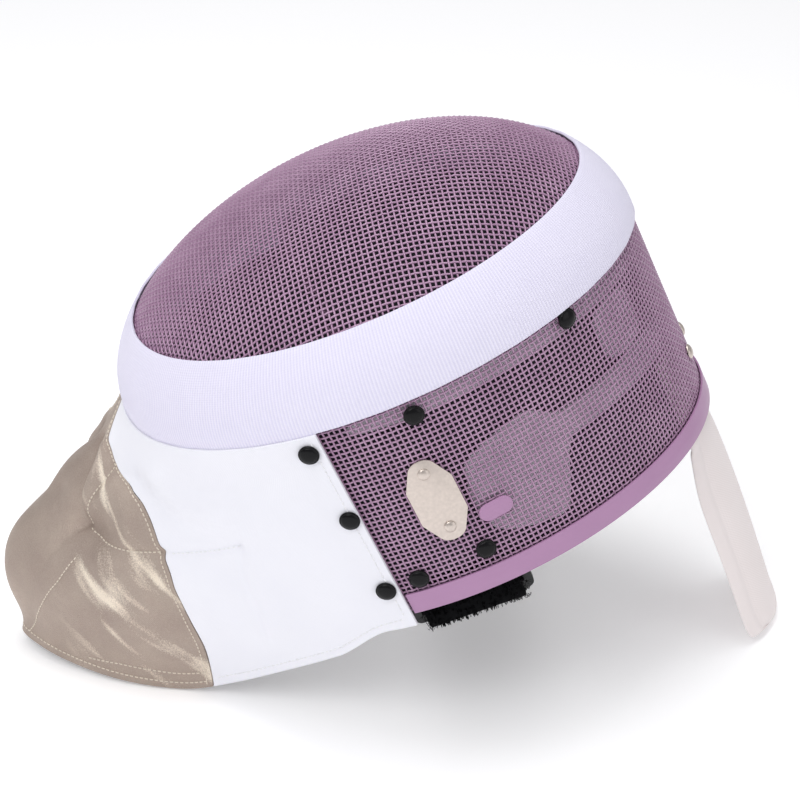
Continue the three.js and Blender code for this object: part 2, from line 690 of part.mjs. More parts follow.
for (const [end, way] of [['upper', -1], ['lower', 1]]) {
  const rivet = addPiece(`plate_rivet_${end}`, buttonGeometry(PLATE_RIVET_RADIUS, 1.6), finishes.steel());
  const foot = plate.foot.clone()
    .addScaledVector(plate.down, way * PLATE_LENGTH * 0.34)
    .addScaledVector(plate.outward, PLATE_THICKNESS + GAP);
  standOn(rivet, foot, plate.outward);
}

const tabOutline = () => {
  const end = TAB_WIDTH / 2;
  const reach = TAB_LENGTH / 2 - end;
  const shape = new THREE.Shape();
  shape.moveTo(-reach, -end);
  shape.lineTo(reach, -end);
  shape.absarc(reach, 0, end, -Math.PI / 2, Math.PI / 2, false);
  shape.lineTo(-reach, end);
  shape.absarc(-reach, 0, end, Math.PI / 2, Math.PI * 1.5, false);
  return shape;
};
flatFitting('side_tab', tabOutline(), TAB_THICKNESS, 80, 1.643, GAP, finishes.rimPaint());

// Back strap: turns round the bar of a buckle at each side and crosses below the opening.
// Path of its middle line: share of half the rim's width, and depth below the rim's foot.
const rimFoot = SHOULDER_DROP + WALL_DEPTH;
const strapPath = [
  { side: 0.936, below: 2.6 },
  { side: 0.938, below: 11 },
  { side: 0.931, below: 16.4 },
  { side: 0.908, below: 18.4 },
  { side: 0.85, below: 18.6 },
  { side: 0.7, below: 19.5 },
  { side: 0.4, below: 16 + STRAP_SAG * 0.45 },
  { side: 0, below: 16 + STRAP_SAG * 0.6 },
];
const strapLine = [
  ...strapPath,
  ...strapPath.slice(0, -1).reverse().map((row) => ({ side: -row.side, below: row.below })),
];
const strapCurve = new THREE.CatmullRomCurve3(
  strapLine.map((row) => new THREE.Vector3(-row.side * (RIM_WIDTH / 2), -rimFoot - row.below, 0)),
  false,
  'centripetal',
);
const STRAP_STEPS = 56;
const strapStations = Array.from({ length: STRAP_STEPS + 1 }, (_, step) => step / STRAP_STEPS);
const strapSection = [
  [-STRAP_WIDTH / 2, -STRAP_THICKNESS / 2],
  [STRAP_WIDTH / 2, -STRAP_THICKNESS / 2],
  [STRAP_WIDTH / 2, STRAP_THICKNESS / 2],
  [-STRAP_WIDTH / 2, STRAP_THICKNESS / 2],
].map(([along, across]) => new THREE.Vector2(along, across));
addPiece('back_strap', sweptGeometry(strapSection, strapStations, (share, corner) => {
  const at = strapCurve.getPointAt(share);
  const along = strapCurve.getTangentAt(share);
  const y = at.x - along.y * corner.y;
  const f = at.y + along.x * corner.y;
  return toFloorFrame(STRAP_CENTRE + corner.x, y, f);
}), finishes.blackPile());

// Buckles: rectangular loops standing inside the rim, with the strap round their lower bars
const buckleOutline = () => {
  const halfLength = BUCKLE_LENGTH / 2;
  const halfHeight = BUCKLE_HEIGHT / 2;
  const shape = new THREE.Shape();
  const radius = 4;
  shape.moveTo(-halfLength + radius, -halfHeight);
  shape.lineTo(halfLength - radius, -halfHeight);
  shape.quadraticCurveTo(halfLength, -halfHeight, halfLength, -halfHeight + radius);
  shape.lineTo(halfLength, halfHeight - radius);
  shape.quadraticCurveTo(halfLength, halfHeight, halfLength - radius, halfHeight);
  shape.lineTo(-halfLength + radius, halfHeight);
  shape.quadraticCurveTo(-halfLength, halfHeight, -halfLength, halfHeight - radius);
  shape.lineTo(-halfLength, -halfHeight + radius);
  shape.quadraticCurveTo(-halfLength, -halfHeight, -halfLength + radius, -halfHeight);
  const slot = new THREE.Path();
  const inLength = halfLength - BUCKLE_BAR;
  const inHeight = halfHeight - BUCKLE_BAR;
  slot.moveTo(-inLength, -inHeight);
  slot.lineTo(-inLength, inHeight);
  slot.lineTo(inLength, inHeight);
  slot.lineTo(inLength, -inHeight);
  slot.closePath();
  shape.holes.push(slot);
  return shape;
};
for (const [side, way] of [['left', -1], ['right', 1]]) {
  const geometry = new THREE.ExtrudeGeometry(buckleOutline(), { depth: 4, bevelEnabled: false, curveSegments: 4 });
  geometry.translate(0, 0, -2);
  const piece = addPiece(`buckle_${side}`, geometry, finishes.blackPlastic());
  const barSide = (RIM_WIDTH / 2) * 0.9;
  const foot = toFloorFrame(STRAP_CENTRE, way * barSide, -rimFoot - BUCKLE_DROP + BUCKLE_HEIGHT / 2);
  const along = toFloorFrame(1, 0, 0).sub(toFloorFrame(0, 0, 0));
  const up = toFloorFrame(0, 0, 1).sub(toFloorFrame(0, 0, 0));
  piece.quaternion.setFromRotationMatrix(new THREE.Matrix4().makeBasis(along, up, along.clone().cross(up)));
  piece.position.copy(foot);

  // Web tab that holds the buckle's upper bar to the inside of the rim
  const tabInner = barSide + 2 + GAP;
  const tabGeometry = new THREE.BoxGeometry(WEB_TAB_WIDTH, WEB_TAB_HEIGHT, WEB_TAB_REACH - GAP);
  const tab = addPiece(`buckle_tab_${side}`, tabGeometry, finishes.blackPile());
  tab.quaternion.copy(piece.quaternion);
  tab.position.copy(toFloorFrame(
    STRAP_CENTRE,
    way * (tabInner + (WEB_TAB_REACH - GAP) / 2),
    -rimFoot - BUCKLE_DROP + BUCKLE_HEIGHT - BUCKLE_BAR / 2,
  ));
}

// The origin goes to the middle of the base
mask.updateMatrixWorld(true);
const box = new THREE.Box3().setFromObject(mask, true);
mask.position.set(-(box.min.x + box.max.x) / 2, -(box.min.y + box.max.y) / 2, -box.min.z);
mask.updateMatrixWorld(true);

export default mask;
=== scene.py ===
"""Dresses the fencing mask: woven wire, ribbed elastic, stitched cloth, padded tongue and fittings.

Sizes of the mask's form are in millimetres, as in the part's source. Meshes are in metres.
"""

import logging
import math
from dataclasses import dataclass
from enum import Enum
from functools import cache
from typing import Callable, Iterable, Sequence, Union

import bpy
import numpy as np
from mathutils import Matrix, Vector


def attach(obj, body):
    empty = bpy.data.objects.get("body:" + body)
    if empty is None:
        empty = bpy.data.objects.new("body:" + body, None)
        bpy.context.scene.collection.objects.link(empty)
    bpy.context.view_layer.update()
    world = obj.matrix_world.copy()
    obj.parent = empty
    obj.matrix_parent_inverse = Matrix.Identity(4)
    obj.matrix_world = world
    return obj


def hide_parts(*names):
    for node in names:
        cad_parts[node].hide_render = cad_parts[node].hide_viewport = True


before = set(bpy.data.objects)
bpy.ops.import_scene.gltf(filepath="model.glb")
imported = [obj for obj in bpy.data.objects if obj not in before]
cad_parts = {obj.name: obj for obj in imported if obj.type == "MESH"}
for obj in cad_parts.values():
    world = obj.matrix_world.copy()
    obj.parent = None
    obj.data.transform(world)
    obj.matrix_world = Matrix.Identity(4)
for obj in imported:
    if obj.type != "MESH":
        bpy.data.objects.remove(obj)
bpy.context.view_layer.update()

MM = 0.001
SIDES = (("left", 1), ("right", -1))
LOG = logging.getLogger("mask")
Piece = bpy.types.Object
Array = np.ndarray
Number = Union[float, Array]
Place = Callable[[Array, Array], Array]


# Small helpers for numbers


def mix(start: Number, end: Number, share: Number) -> Number:
    """Value a share of the way from start to end."""
    return start + (end - start) * share


def smooth(share: Number) -> Number:
    """Ease from 0 to 1, flat at both ends."""
    s = np.clip(share, 0.0, 1.0)
    return s * s * (3 - 2 * s)


def bell(distance: Number, width: float) -> Number:
    """Bell of height 1 that falls off over a width."""
    return np.exp(-((distance / width) ** 2))


def blunted(wave: Array, power: float) -> Array:
    """Values from -1 to 1 raised to a power, with their signs kept."""
    return np.sign(wave) * np.abs(wave) ** power


def unit(vectors: Array) -> Array:
    """Vectors of length one in the same directions."""
    return vectors / np.maximum(1e-12, np.linalg.norm(vectors, axis=-1, keepdims=True))


@dataclass(frozen=True)
class Table:
    """Rows of named columns, read along a smooth curve.

    Attributes:
        names: names of the columns, the one that rises from row to row first.
        rows: the rows.
    """

    names: tuple
    rows: tuple

    def column(self, name: str) -> Array:
        """All values of a column."""
        return np.array([row[self.names.index(name)] for row in self.rows], float)

    def read(self, name: str, value: Number) -> Array:
        """Values of a column where the first column has the given values.

        Args:
            name: the column.
            value: values of the first column.

        Returns:
            The column's values on the smooth curve through the rows.
        """
        keys, column = self.column(self.names[0]), self.column(name)
        value = np.asarray(value, float)
        at = np.clip(np.searchsorted(keys, value, side="right") - 1, 0, len(keys) - 2)
        before, after = np.maximum(at - 1, 0), np.minimum(at + 2, len(keys) - 1)
        span = keys[at + 1] - keys[at]
        share = (value - keys[at]) / span
        slope_start = (column[at + 1] - column[before]) / (keys[at + 1] - keys[before]) * span
        slope_end = (column[after] - column[at]) / (keys[after] - keys[at]) * span
        s2, s3 = share**2, share**3
        return (
            (2 * s3 - 3 * s2 + 1) * column[at]
            + (s3 - 2 * s2 + share) * slope_start
            + (3 * s2 - 2 * s3) * column[at + 1]
            + (s3 - s2) * slope_end
        )


def centripetal(knots: Array, share: Number) -> Array:
    """Points on a centripetal curve through knots.

    Args:
        knots: points of the curve.
        share: shares of the way, counted in knots.

    Returns:
        Points, one for each share.
    """
    full = np.vstack([2 * knots[0] - knots[1], knots, 2 * knots[-1] - knots[-2]])
    value = np.clip(np.asarray(share, float), 0, 1) * (len(knots) - 1)
    at = np.minimum(value.astype(int), len(knots) - 2)
    p0, p1, p2, p3 = full[at], full[at + 1], full[at + 2], full[at + 3]
    pairs = ((p0, p1), (p1, p2), (p2, p3))
    gaps = [np.maximum(1e-9, np.linalg.norm(b - a, axis=-1) ** 0.5) for a, b in pairs]
    t0 = np.zeros_like(gaps[0])
    t1, t2 = t0 + gaps[0], t0 + gaps[0] + gaps[1]
    t3 = t2 + gaps[2]
    t = t1 + (value - at) * gaps[1]

    def between(a: Array, b: Array, start: Array, end: Array) -> Array:
        """Points on the lines from a, at start, to b, at end."""
        return a + (b - a) * ((t - start) / (end - start))[..., None]

    a1, a2, a3 = between(p0, p1, t0, t1), between(p1, p2, t1, t2), between(p2, p3, t2, t3)
    return between(between(a1, a2, t0, t2), between(a2, a3, t1, t3), t1, t2)


def run_along(line: Array) -> Array:
    """Distance from the start of a line to each of its points."""
    return np.concatenate([[0.0], np.cumsum(np.linalg.norm(np.diff(line, axis=0), axis=1))])


def evenly(line: Array, pitch: float) -> Array:
    """Line resampled at an even pitch, measured over its first three columns."""
    run = run_along(line[:, :3])
    count = max(1, round(run[-1] / pitch))
    wanted = np.linspace(0, run[-1], count + 1)
    return np.stack([np.interp(wanted, run, line[:, k]) for k in range(line.shape[1])], axis=1)


# The mask's form


@dataclass(frozen=True)
class MaskForm:
    """Outer surface of the mask, by ring angle and by station along the meridian.

    Ring angles are degrees from the top of the head towards the wearer's left. Station 0 is the
    dome's apex, 1 the rear edge of the band and 2 the foot of the rim.
    """

    lean: float = 20.7
    face_height: float = 270.0
    face_length: float = 309.0
    face_width: float = 243.0
    chin_fullness: float = 0.08
    shoulder_drop: float = 42.3
    dome_height: float = 88.0
    dome_power: float = 1.95
    apex_shift: float = 24.7
    face_centre: float = -1.7
    rim_length: float = 308.7
    rim_width: float = 247.0
    rim_centre: float = 4.9
    wall_depth: float = 130.2
    forward_shift: float = -27.1065

    def turn_to_floor(self, directions: Array) -> Array:
        """Directions of the mask's own frame, leaned onto the floor."""
        c, s = math.cos(math.radians(self.lean)), math.sin(math.radians(self.lean))
        u, y, f = directions[..., 0], directions[..., 1], directions[..., 2]
        return np.stack([u * c - f * s, y, u * s + f * c], axis=-1)

    def to_floor(self, points: Array) -> Array:
        """Points of the mask's own frame, leaned onto the floor, in metres."""
        shift = np.array([self.forward_shift, 0, self.face_height])
        return (self.turn_to_floor(points) + shift) * MM

    def bare_point(self, angle: Number, station: Number) -> Array:
        """Points of the outer surface in the mask's own frame."""
        angle, station = np.broadcast_arrays(np.asarray(angle, float), np.asarray(station, float))
        on_dome, down = np.minimum(station, 1.0), np.maximum(station - 1.0, 0.0)
        power = self.dome_power
        height = self.dome_height * np.maximum(0, 1 - on_dome**power) ** (1 / power)
        length = self.face_length * on_dome + (self.rim_length - self.face_length) * down
        width = self.face_width * on_dome + (self.rim_width - self.face_width) * down
        centre = self.face_centre + self.apex_shift * (1 - on_dome)
        centre = centre + (self.rim_centre - self.face_centre) * down
        turn = np.radians(angle)
        along = centre + length / 2 * np.cos(turn)
        side = -(width / 2) * np.sin(turn) * (1 - self.chin_fullness * np.cos(turn))
        height = height - self.shoulder_drop - down * self.wall_depth
        return np.stack([along, side, height], axis=-1)

    def bare_normal(self, angle: Number, station: Number) -> Array:
        """Outward directions of the surface in the mask's own frame."""
        angle, station = np.broadcast_arrays(np.asarray(angle, float), np.asarray(station, float))
        degree, step, apex = 0.5, 0.001, 0.01
        low = np.maximum(apex / 2, station - step)
        around = self.bare_point(angle + degree, station) - self.bare_point(angle - degree, station)
        along = self.bare_point(angle, station + step) - self.bare_point(angle, low)
        normal = -unit(np.cross(along, around))
        return np.where((station < apex)[..., None], np.array([0.0, 0.0, 1.0]), normal)

    def point(self, angle: Number, station: Number, offset: Number = 0.0) -> Array:
        """Points at an offset from the surface, on the floor, in metres."""
        offset = np.asarray(offset, float)[..., None]
        bare = self.bare_point(angle, station) + self.bare_normal(angle, station) * offset
        return self.to_floor(bare)

    def outward(self, angle: Number, station: Number) -> Array:
        """Outward directions of the surface, on the floor."""
        return self.turn_to_floor(self.bare_normal(angle, station))

    def station_at_drop(self, drop: Number) -> Array:
        """Stations at depths below the face's front plane."""
        drop = np.asarray(drop, float)
        height = np.clip((self.shoulder_drop - drop) / self.dome_height, 0, 1)
        dome = (1 - height**self.dome_power) ** (1 / self.dome_power)
        on_wall = 1 + (drop - self.shoulder_drop) / self.wall_depth
        return np.where(drop >= self.shoulder_drop, on_wall, dome)

    def inside_value(self, points: Array) -> Array:
        """How far bare points lie from the dome: 0 on it, less inside, more outside."""
        u, y, f = points[..., 0], points[..., 1], points[..., 2]
        share = np.full(u.shape, 0.5)
        for _ in range(9):
            along = (u - self.face_centre - self.apex_shift * (1 - share)) / (self.face_length / 2)
            lean = np.clip(along / np.maximum(share, 1e-6), -1, 1)
            side = y / (self.face_width / 2 * (1 - self.chin_fullness * lean))
            share = np.sqrt(along**2 + side**2)
        height = np.maximum(0.0, (f + self.shoulder_drop) / self.dome_height)
        return share**self.dome_power + height**self.dome_power - 1

    def dome_gradient(self, points: Array) -> Array:
        """Direction in which inside_value grows, per millimetre."""
        reach = 0.01
        steps = np.concatenate([np.eye(3), -np.eye(3)]) * reach
        values = self.inside_value(points + steps.reshape((6,) + (1,) * (points.ndim - 1) + (3,)))
        return np.moveaxis(values[:3] - values[3:], 0, -1) / (2 * reach)

    def settle(self, points: Array, steps: int = 2) -> Array:
        """Moves bare points onto the dome."""
        for _ in range(steps):
            grown = self.dome_gradient(points)
            value = self.inside_value(points)[..., None]
            points = points - value * grown / np.maximum(1e-12, (grown**2).sum(-1, keepdims=True))
        return points


FORM = MaskForm()
BAND_FOOT = FORM.shoulder_drop + 0.6
# Points that tell outer faces from inner ones: the middle of the mask, and one behind the bib.
MIDDLE = FORM.to_floor(np.array([0.0, 0.0, -70.0]))
INSIDE_BIB = np.array([-0.10, 0.0, 0.13])


# Modelling helpers


def deselect() -> None:
    """Leaves nothing selected."""
    bpy.ops.object.select_all(action="DESELECT")


def activate(piece: Piece) -> None:
    """Makes a piece the only selected one."""
    deselect()
    piece.select_set(True)
    bpy.context.view_layer.objects.active = piece


def apply_modifier(piece: Piece, kind: str, **settings: object) -> None:
    """Adds a modifier of a kind to a piece, with its settings, and applies it."""
    activate(piece)
    modifier = piece.modifiers.new(kind.title(), kind)
    for name, value in settings.items():
        setattr(modifier, name, value)
    bpy.ops.object.modifier_apply(modifier=modifier.name)


def round_edges(piece: Piece, width: float, segments: int = 3) -> None:
    """Bevels a piece's sharp edges by a width in metres."""
    sharp = {"limit_method": "ANGLE", "angle_limit": math.radians(50)}
    apply_modifier(piece, "BEVEL", width=width, segments=segments, **sharp)


def apply_place(piece: Piece) -> None:
    """Puts a piece's place, turn and size into its mesh."""
    activate(piece)
    bpy.ops.object.transform_apply(location=True, rotation=True, scale=True)


def in_edit(piece: Piece, *steps: Callable[[], object]) -> None:
    """Runs edit mode operators, starting with the whole of a piece selected."""
    activate(piece)
    bpy.ops.object.mode_set(mode="EDIT")
    bpy.ops.mesh.select_all(action="SELECT")
    for step in steps:
        step()
    bpy.ops.object.mode_set(mode="OBJECT")


def smooth_shade(piece: Piece, angle: float = 40.0) -> None:
    """Shades a piece smooth, apart from edges sharper than an angle in degrees."""
    activate(piece)
    bpy.ops.object.shade_smooth_by_angle(angle=math.radians(angle))


def name_piece(name: str) -> Piece:
    """Names the object that an operator has just made."""
    piece = bpy.context.active_object
    piece.name = name
    piece.data.name = name
    return piece


def primitive(
    name: str, add: Callable, scale: tuple = (1, 1, 1), at: tuple = (0, 0, 0), **settings: object
) -> Piece:
    """Piece from one of Blender's primitives.

    Args:
        name: the piece's name.
        add: the operator that adds it.
        scale: its scale, put into its mesh.
        at: its place in metres, put into its mesh.
        settings: the operator's settings.

    Returns:
        The new piece.
    """
    deselect()
    add(**settings)
    piece = name_piece(name)
    piece.scale, piece.location = scale, at
    apply_place(piece)
    return piece


def vertices(piece: Piece) -> Array:
    """All points of a piece."""
    flat = np.empty(len(piece.data.vertices) * 3)
    piece.data.vertices.foreach_get("co", flat)
    return flat.reshape(-1, 3)


def put_vertices(piece: Piece, points: Array) -> None:
    """Moves all points of a piece."""
    piece.data.vertices.foreach_set("co", points.ravel())
    piece.data.update()


def keep_over_floor(points: Array) -> Array:
    """Points with none of them under the floor."""
    return np.concatenate([points[..., :2], np.maximum(points[..., 2:], 0.0)], axis=-1)


def scale_weave(piece: Piece, size: tuple) -> None:
    """Scales a piece's texture coordinates to its size in metres."""
    weave = piece.data.uv_layers.active
    corners = np.empty(len(weave.data) * 2)
    weave.data.foreach_get("uv", corners)
    weave.data.foreach_set("uv", (corners.reshape(-1, 2) * np.array(size)).ravel())


def wrapped_grid(
    name: str, columns: int, rows: int, place: Place, cloth_size: tuple, ring: bool = False
) -> Piece:
    """Grid laid over a form, as cloth is laid over a block.

    Args:
        name: the piece's name.
        columns: cells across.
        rows: cells down.
        place: gives points in metres at shares across and shares down.
        cloth_size: width and height of the cloth in metres, for its weave.
        ring: whether the last column meets the first.

    Returns:
        The new piece, one layer thick, with its faces turned outwards.
    """
    cells = {"x_subdivisions": columns, "y_subdivisions": rows}
    piece = primitive(name, bpy.ops.mesh.primitive_grid_add, size=1, calc_uvs=True, **cells)
    flat = vertices(piece) + 0.5
    put_vertices(piece, place(flat[:, 0], 1 - flat[:, 1]))
    scale_weave(piece, cloth_size)
    if ring:
        in_edit(piece, lambda: bpy.ops.mesh.remove_doubles(threshold=0.00005))
    middle, faces = Vector(MIDDLE), piece.data.polygons
    if sum((face.center - middle).normalized().dot(face.normal) for face in faces) < 0:
        in_edit(piece, lambda: bpy.ops.mesh.flip_normals())
    return piece


def wrapped_ball(name: str, around: int, along: int, place: Place, pad_size: tuple) -> Piece:
    """Closed pad laid along a form, made from a sphere whose poles become its ends.

    Args:
        name: the piece's name.
        around: faces round the pad.
        along: rings along it.
        place: gives points in metres at angles round it, in radians, and shares along it.
        pad_size: girth and length in metres, for its weave.

    Returns:
        The new piece.
    """
    cells = {"segments": around, "ring_count": along}
    piece = primitive(name, bpy.ops.mesh.primitive_uv_sphere_add, radius=1, calc_uvs=True, **cells)
    flat = vertices(piece)
    turn = np.arctan2(flat[:, 1], flat[:, 0])
    share = np.arccos(np.clip(flat[:, 2], -1, 1)) / math.pi
    put_vertices(piece, place(turn, share))
    scale_weave(piece, pad_size)
    in_edit(piece, lambda: bpy.ops.mesh.normals_make_consistent(inside=False))
    smooth_shade(piece, 70)
    return piece


def thicken(piece: Piece, thickness: float, offset: float, bevel: float) -> None:
    """Gives a one-layer piece its thickness.

    Args:
        piece: the piece.
        thickness: thickness in metres.
        offset: -1 grows inwards, 1 outwards, 0 both ways.
        bevel: radius of the rounded edge in metres.
    """
    apply_modifier(piece, "SOLIDIFY", thickness=thickness, offset=offset, use_even_offset=True)
    round_edges(piece, bevel, 2)


def cut_area(piece: Piece, layers: float, flat: tuple) -> float:
    """Area of cloth in a thickened piece, in square metres, at most its flat size."""
    return min(sum(face.area for face in piece.data.polygons) / layers, flat[0] * flat[1])


def from_points(name: str, points: Array, faces: list) -> Piece:
    """Piece from points in metres and faces, for many repeated crossings or stitches."""
    mesh = bpy.data.meshes.new(name)
    mesh.from_pydata(points.tolist(), [], faces)
    mesh.update()
    piece = bpy.data.objects.new(name, mesh)
    bpy.context.scene.collection.objects.link(piece)
    return piece


def join(name: str, pieces: Sequence[Piece]) -> Piece:
    """Joins pieces into one under a name."""
    activate(pieces[0])
    for piece in pieces:
        piece.select_set(True)
    bpy.ops.object.join()
    return name_piece(name)


def stand_on(piece: Piece, foot: Array, outward: Array, down: Array) -> None:
    """Stands a piece, modelled on the origin, on a place of the mask.

    Args:
        piece: the piece; its Z goes outward and its Y up the wall.
        foot: the place in metres.
        outward: direction away from the surface.
        down: direction that the piece's -Y is turned to, as nearly as outward lets it.
    """
    up = unit(-down + outward * float(np.dot(down, outward)))
    across = np.cross(up, outward)
    rows = [[across[k], up[k], outward[k], foot[k]] for k in range(3)]
    piece.matrix_world = Matrix(rows + [[0, 0, 0, 1]])
    apply_place(piece)


@dataclass
class Thread:
    """A thin round thing that follows a line: a wire, a loop of pile or a stitch.

    Attributes:
        radius: radius in metres.
        sides: faces round it.
    """

    radius: float
    sides: int = 6

    def rings(self, line: Array, normals: Array) -> Array:
        """Rings of points round a line.

        Args:
            line: points along the middle.
            normals: a direction across the line at each point.

        Returns:
            Points, shaped steps by sides by 3.
        """
        along = unit(np.gradient(line, axis=0))
        across = unit(np.cross(along, normals))
        up = np.cross(across, along)
        turn = np.arange(self.sides) * 2 * math.pi / self.sides
        cosine, sine = np.cos(turn)[None, :, None], np.sin(turn)[None, :, None]
        return line[:, None] + (across[:, None] * cosine + up[:, None] * sine) * self.radius

    def faces(self, steps: int, start: int) -> list:
        """Faces of one thread with this many steps, whose first vertex has the number start."""
        n = self.sides
        low = start + np.arange(steps - 1)[:, None] * n
        here = np.arange(n)[None]
        following = (here + 1) % n
        corners = [low + here, low + following, low + n + following, low + n + here]
        quads = np.stack(corners, axis=-1)
        last = start + (steps - 1) * n
        caps = [[start + k for k in reversed(range(n))], [last + k for k in range(n)]]
        return quads.reshape(-1, 4).tolist() + caps

    def piece(self, name: str, lines: Iterable) -> Piece:
        """One piece of many threads.

        Args:
            name: the piece's name.
            lines: for each thread its points and its cross directions.

        Returns:
            The new piece, shaded smooth.
        """
        blocks: list = []
        faces: list = []
        count = 0
        for line, normals in lines:
            blocks.append(self.rings(line, normals).reshape(-1, 3))
            faces += self.faces(len(line), count)
            count += len(line) * self.sides
        made = from_points(name, np.concatenate(blocks), faces)
        made.data.polygons.foreach_set("use_smooth", [True] * len(made.data.polygons))
        return made


# Materials


class Value:
    """A shader socket that can be reckoned with like a number."""

    def __init__(self, shade: "Shade", socket: bpy.types.NodeSocket) -> None:
        """Wraps a socket of a shade's node tree."""
        self.shade = shade
        self.socket = socket

    def _math(self, operation: str, *others: Union["Value", float]) -> "Value":
        """Adds a Math node for an operation."""
        parts = dict(enumerate([self, *others]))
        node = self.shade.node("ShaderNodeMath", {"operation": operation}, parts)
        return Value(self.shade, node.outputs[0])

    def __add__(self, other: Union["Value", float]) -> "Value":
        """Sum."""
        return self._math("ADD", other)

    def __mul__(self, other: Union["Value", float]) -> "Value":
        """Product."""
        return self._math("MULTIPLY", other)

    def __sub__(self, other: Union["Value", float]) -> "Value":
        """Difference."""
        return self._math("SUBTRACT", other)

    __radd__, __rmul__ = __add__, __mul__

    def sine(self) -> "Value":
        """Sine."""
        return self._math("SINE")

    def clipped(self) -> "Value":
        """Value kept between 0 and 1."""
        node = self.shade.node("ShaderNodeClamp", {}, {0: self})
        return Value(self.shade, node.outputs[0])


def linear(shown: Sequence[float]) -> tuple:
    """Colour as it is shown, from 0 to 255, as scene light."""
    parts = [c / 255 for c in shown]
    parts = [c / 12.92 if c <= 0.04045 else ((c + 0.055) / 1.055) ** 2.4 for c in parts]
    return (parts[0], parts[1], parts[2], 1.0)


class Shade:
    """A material being put together round one Principled shader."""

    def __init__(self, name: str) -> None:
        """Starts an empty material."""
        self.material = bpy.data.materials.new(name)
        self.material.use_nodes = True
        self.tree = self.material.node_tree
        self.tree.nodes.clear()
        self.shader = self.tree.nodes.new("ShaderNodeBsdfPrincipled")
        output = self.tree.nodes.new("ShaderNodeOutputMaterial")
        self.tree.links.new(self.shader.outputs[0], output.inputs["Surface"])

    def node(self, kind: str, settings: dict, sockets: dict) -> bpy.types.Node:
        """Adds any other node.

        Args:
            kind: the node's type.
            settings: its settings, set before its sockets.
            sockets: value, Value or socket for each input, by name or number.

        Returns:
            The node.
        """
        made = self.tree.nodes.new(kind)
        for name, value in settings.items():
            setattr(made, name, value)
        for key, value in sockets.items():
            self.feed(made.inputs[key], value)
        return made

    def feed(self, target: bpy.types.NodeSocket, value: object) -> None:
        """Links a Value or socket to an input, or sets a plain value on it."""
        if isinstance(value, Value):
            self.tree.links.new(value.socket, target)
        elif isinstance(value, bpy.types.NodeSocket):
            self.tree.links.new(value, target)
        else:
            target.default_value = value

    def set(self, **sockets: object) -> None:
        """Feeds the shader's sockets, with spaces in their names written as underscores."""
        for name, value in sockets.items():
            self.feed(self.shader.inputs[name.replace("_", " ")], value)

    def object_place(self) -> bpy.types.NodeSocket:
        """Object coordinates, in metres."""
        return self.node("ShaderNodeTexCoord", {}, {}).outputs["Object"]

    def cloth_place(self) -> tuple:
        """The cloth's own coordinates, across and down, in metres."""
        place = self.node("ShaderNodeTexCoord", {}, {}).outputs["UV"]
        split = self.node("ShaderNodeSeparateXYZ", {}, {0: place})
        return Value(self, split.outputs[0]), Value(self, split.outputs[1])

    def noise(self, scale: float, detail: float = 3.0) -> Value:
        """Noise from 0 to 1 over object coordinates, of about scale waves per metre."""
        sockets = {"Vector": self.object_place(), "Scale": scale, "Detail": detail}
        return Value(self, self.node("ShaderNodeTexNoise", {}, sockets).outputs[0])

    def weave(self, pitch: float) -> Value:
        """Over-and-under pattern of threads, from 0 to 1."""
        across, down = self.cloth_place()
        warp = (across * (math.pi / pitch)).sine()
        weft = (down * (math.pi / pitch)).sine()
        return warp * weft * 0.5 + 0.5

    def blend(self, share: Value, first: Sequence, second: Sequence) -> bpy.types.NodeSocket:
        """Colour between two shown colours, by a share from 0 to 1."""
        sockets = {0: share, 6: linear(first), 7: linear(second)}
        return self.node("ShaderNodeMix", {"data_type": "RGBA"}, sockets).outputs[2]

    def bump(self, height: Value, distance: float, strength: float = 1.0) -> None:
        """Feeds the normal from a height of 0 to 1, as a relief of a depth in metres."""
        sockets = {"Height": height, "Distance": distance, "Strength": strength}
        self.set(Normal=self.node("ShaderNodeBump", {}, sockets).outputs[0])


@dataclass(frozen=True)
class WirePaint:
    """Lilac paint baked on woven wire."""

    shown: tuple = (160, 122, 153)
    worn: tuple = (182, 146, 175)

    def make(self) -> bpy.types.Material:
        """Material of the wire."""
        shade = Shade("wire paint")
        patch = (shade.noise(55.0) * 1.6 - 0.4).clipped()
        shade.set(
            Base_Color=shade.blend(patch, self.shown, self.worn),
            Roughness=0.34 + 0.14 * shade.noise(700.0, 2.0),
            Metallic=0.1,
            Coat_Weight=0.6,
            Coat_Roughness=0.14,
        )
        return shade.material


@dataclass(frozen=True)
class StripPaint:
    """Smooth lilac enamel on folded steel."""

    shown: tuple = (176, 134, 171)
    dull: tuple = (168, 126, 163)

    def make(self) -> bpy.types.Material:
        """Material of the rim and the tab."""
        shade = Shade("strip paint")
        shade.set(
            Base_Color=shade.blend(shade.noise(40.0, 4.0), self.shown, self.dull),
            Roughness=0.34 + 0.12 * shade.noise(220.0),
        )
        shade.bump(shade.noise(900.0, 2.0), 0.00004)
        return shade.material


@dataclass(frozen=True)
class RibbedElastic:
    """Woven elastic with fine ribs across its width."""

    shown: tuple = (236, 233, 247)
    shaded: tuple = (216, 212, 236)
    rib_pitch: float = 0.0018
    pick_pitch: float = 0.0011

    def make(self) -> bpy.types.Material:
        """Material of the band."""
        shade = Shade("ribbed elastic")
        across, down = shade.cloth_place()
        rib = (across * (2 * math.pi / self.rib_pitch)).sine() * 0.5 + 0.5
        pick = (down * (2 * math.pi / self.pick_pitch)).sine() * 0.5 + 0.5
        cloth = rib * 0.8 + pick * 0.2
        tone = (cloth * 0.75 + 0.25 * shade.noise(60.0)).clipped()
        shade.set(
            Base_Color=shade.blend(tone, self.shaded, self.shown),
            Roughness=0.85,
            Sheen_Weight=0.2,
            Sheen_Roughness=0.5,
        )
        shade.bump(cloth, 0.0003, 0.8)
        return shade.material


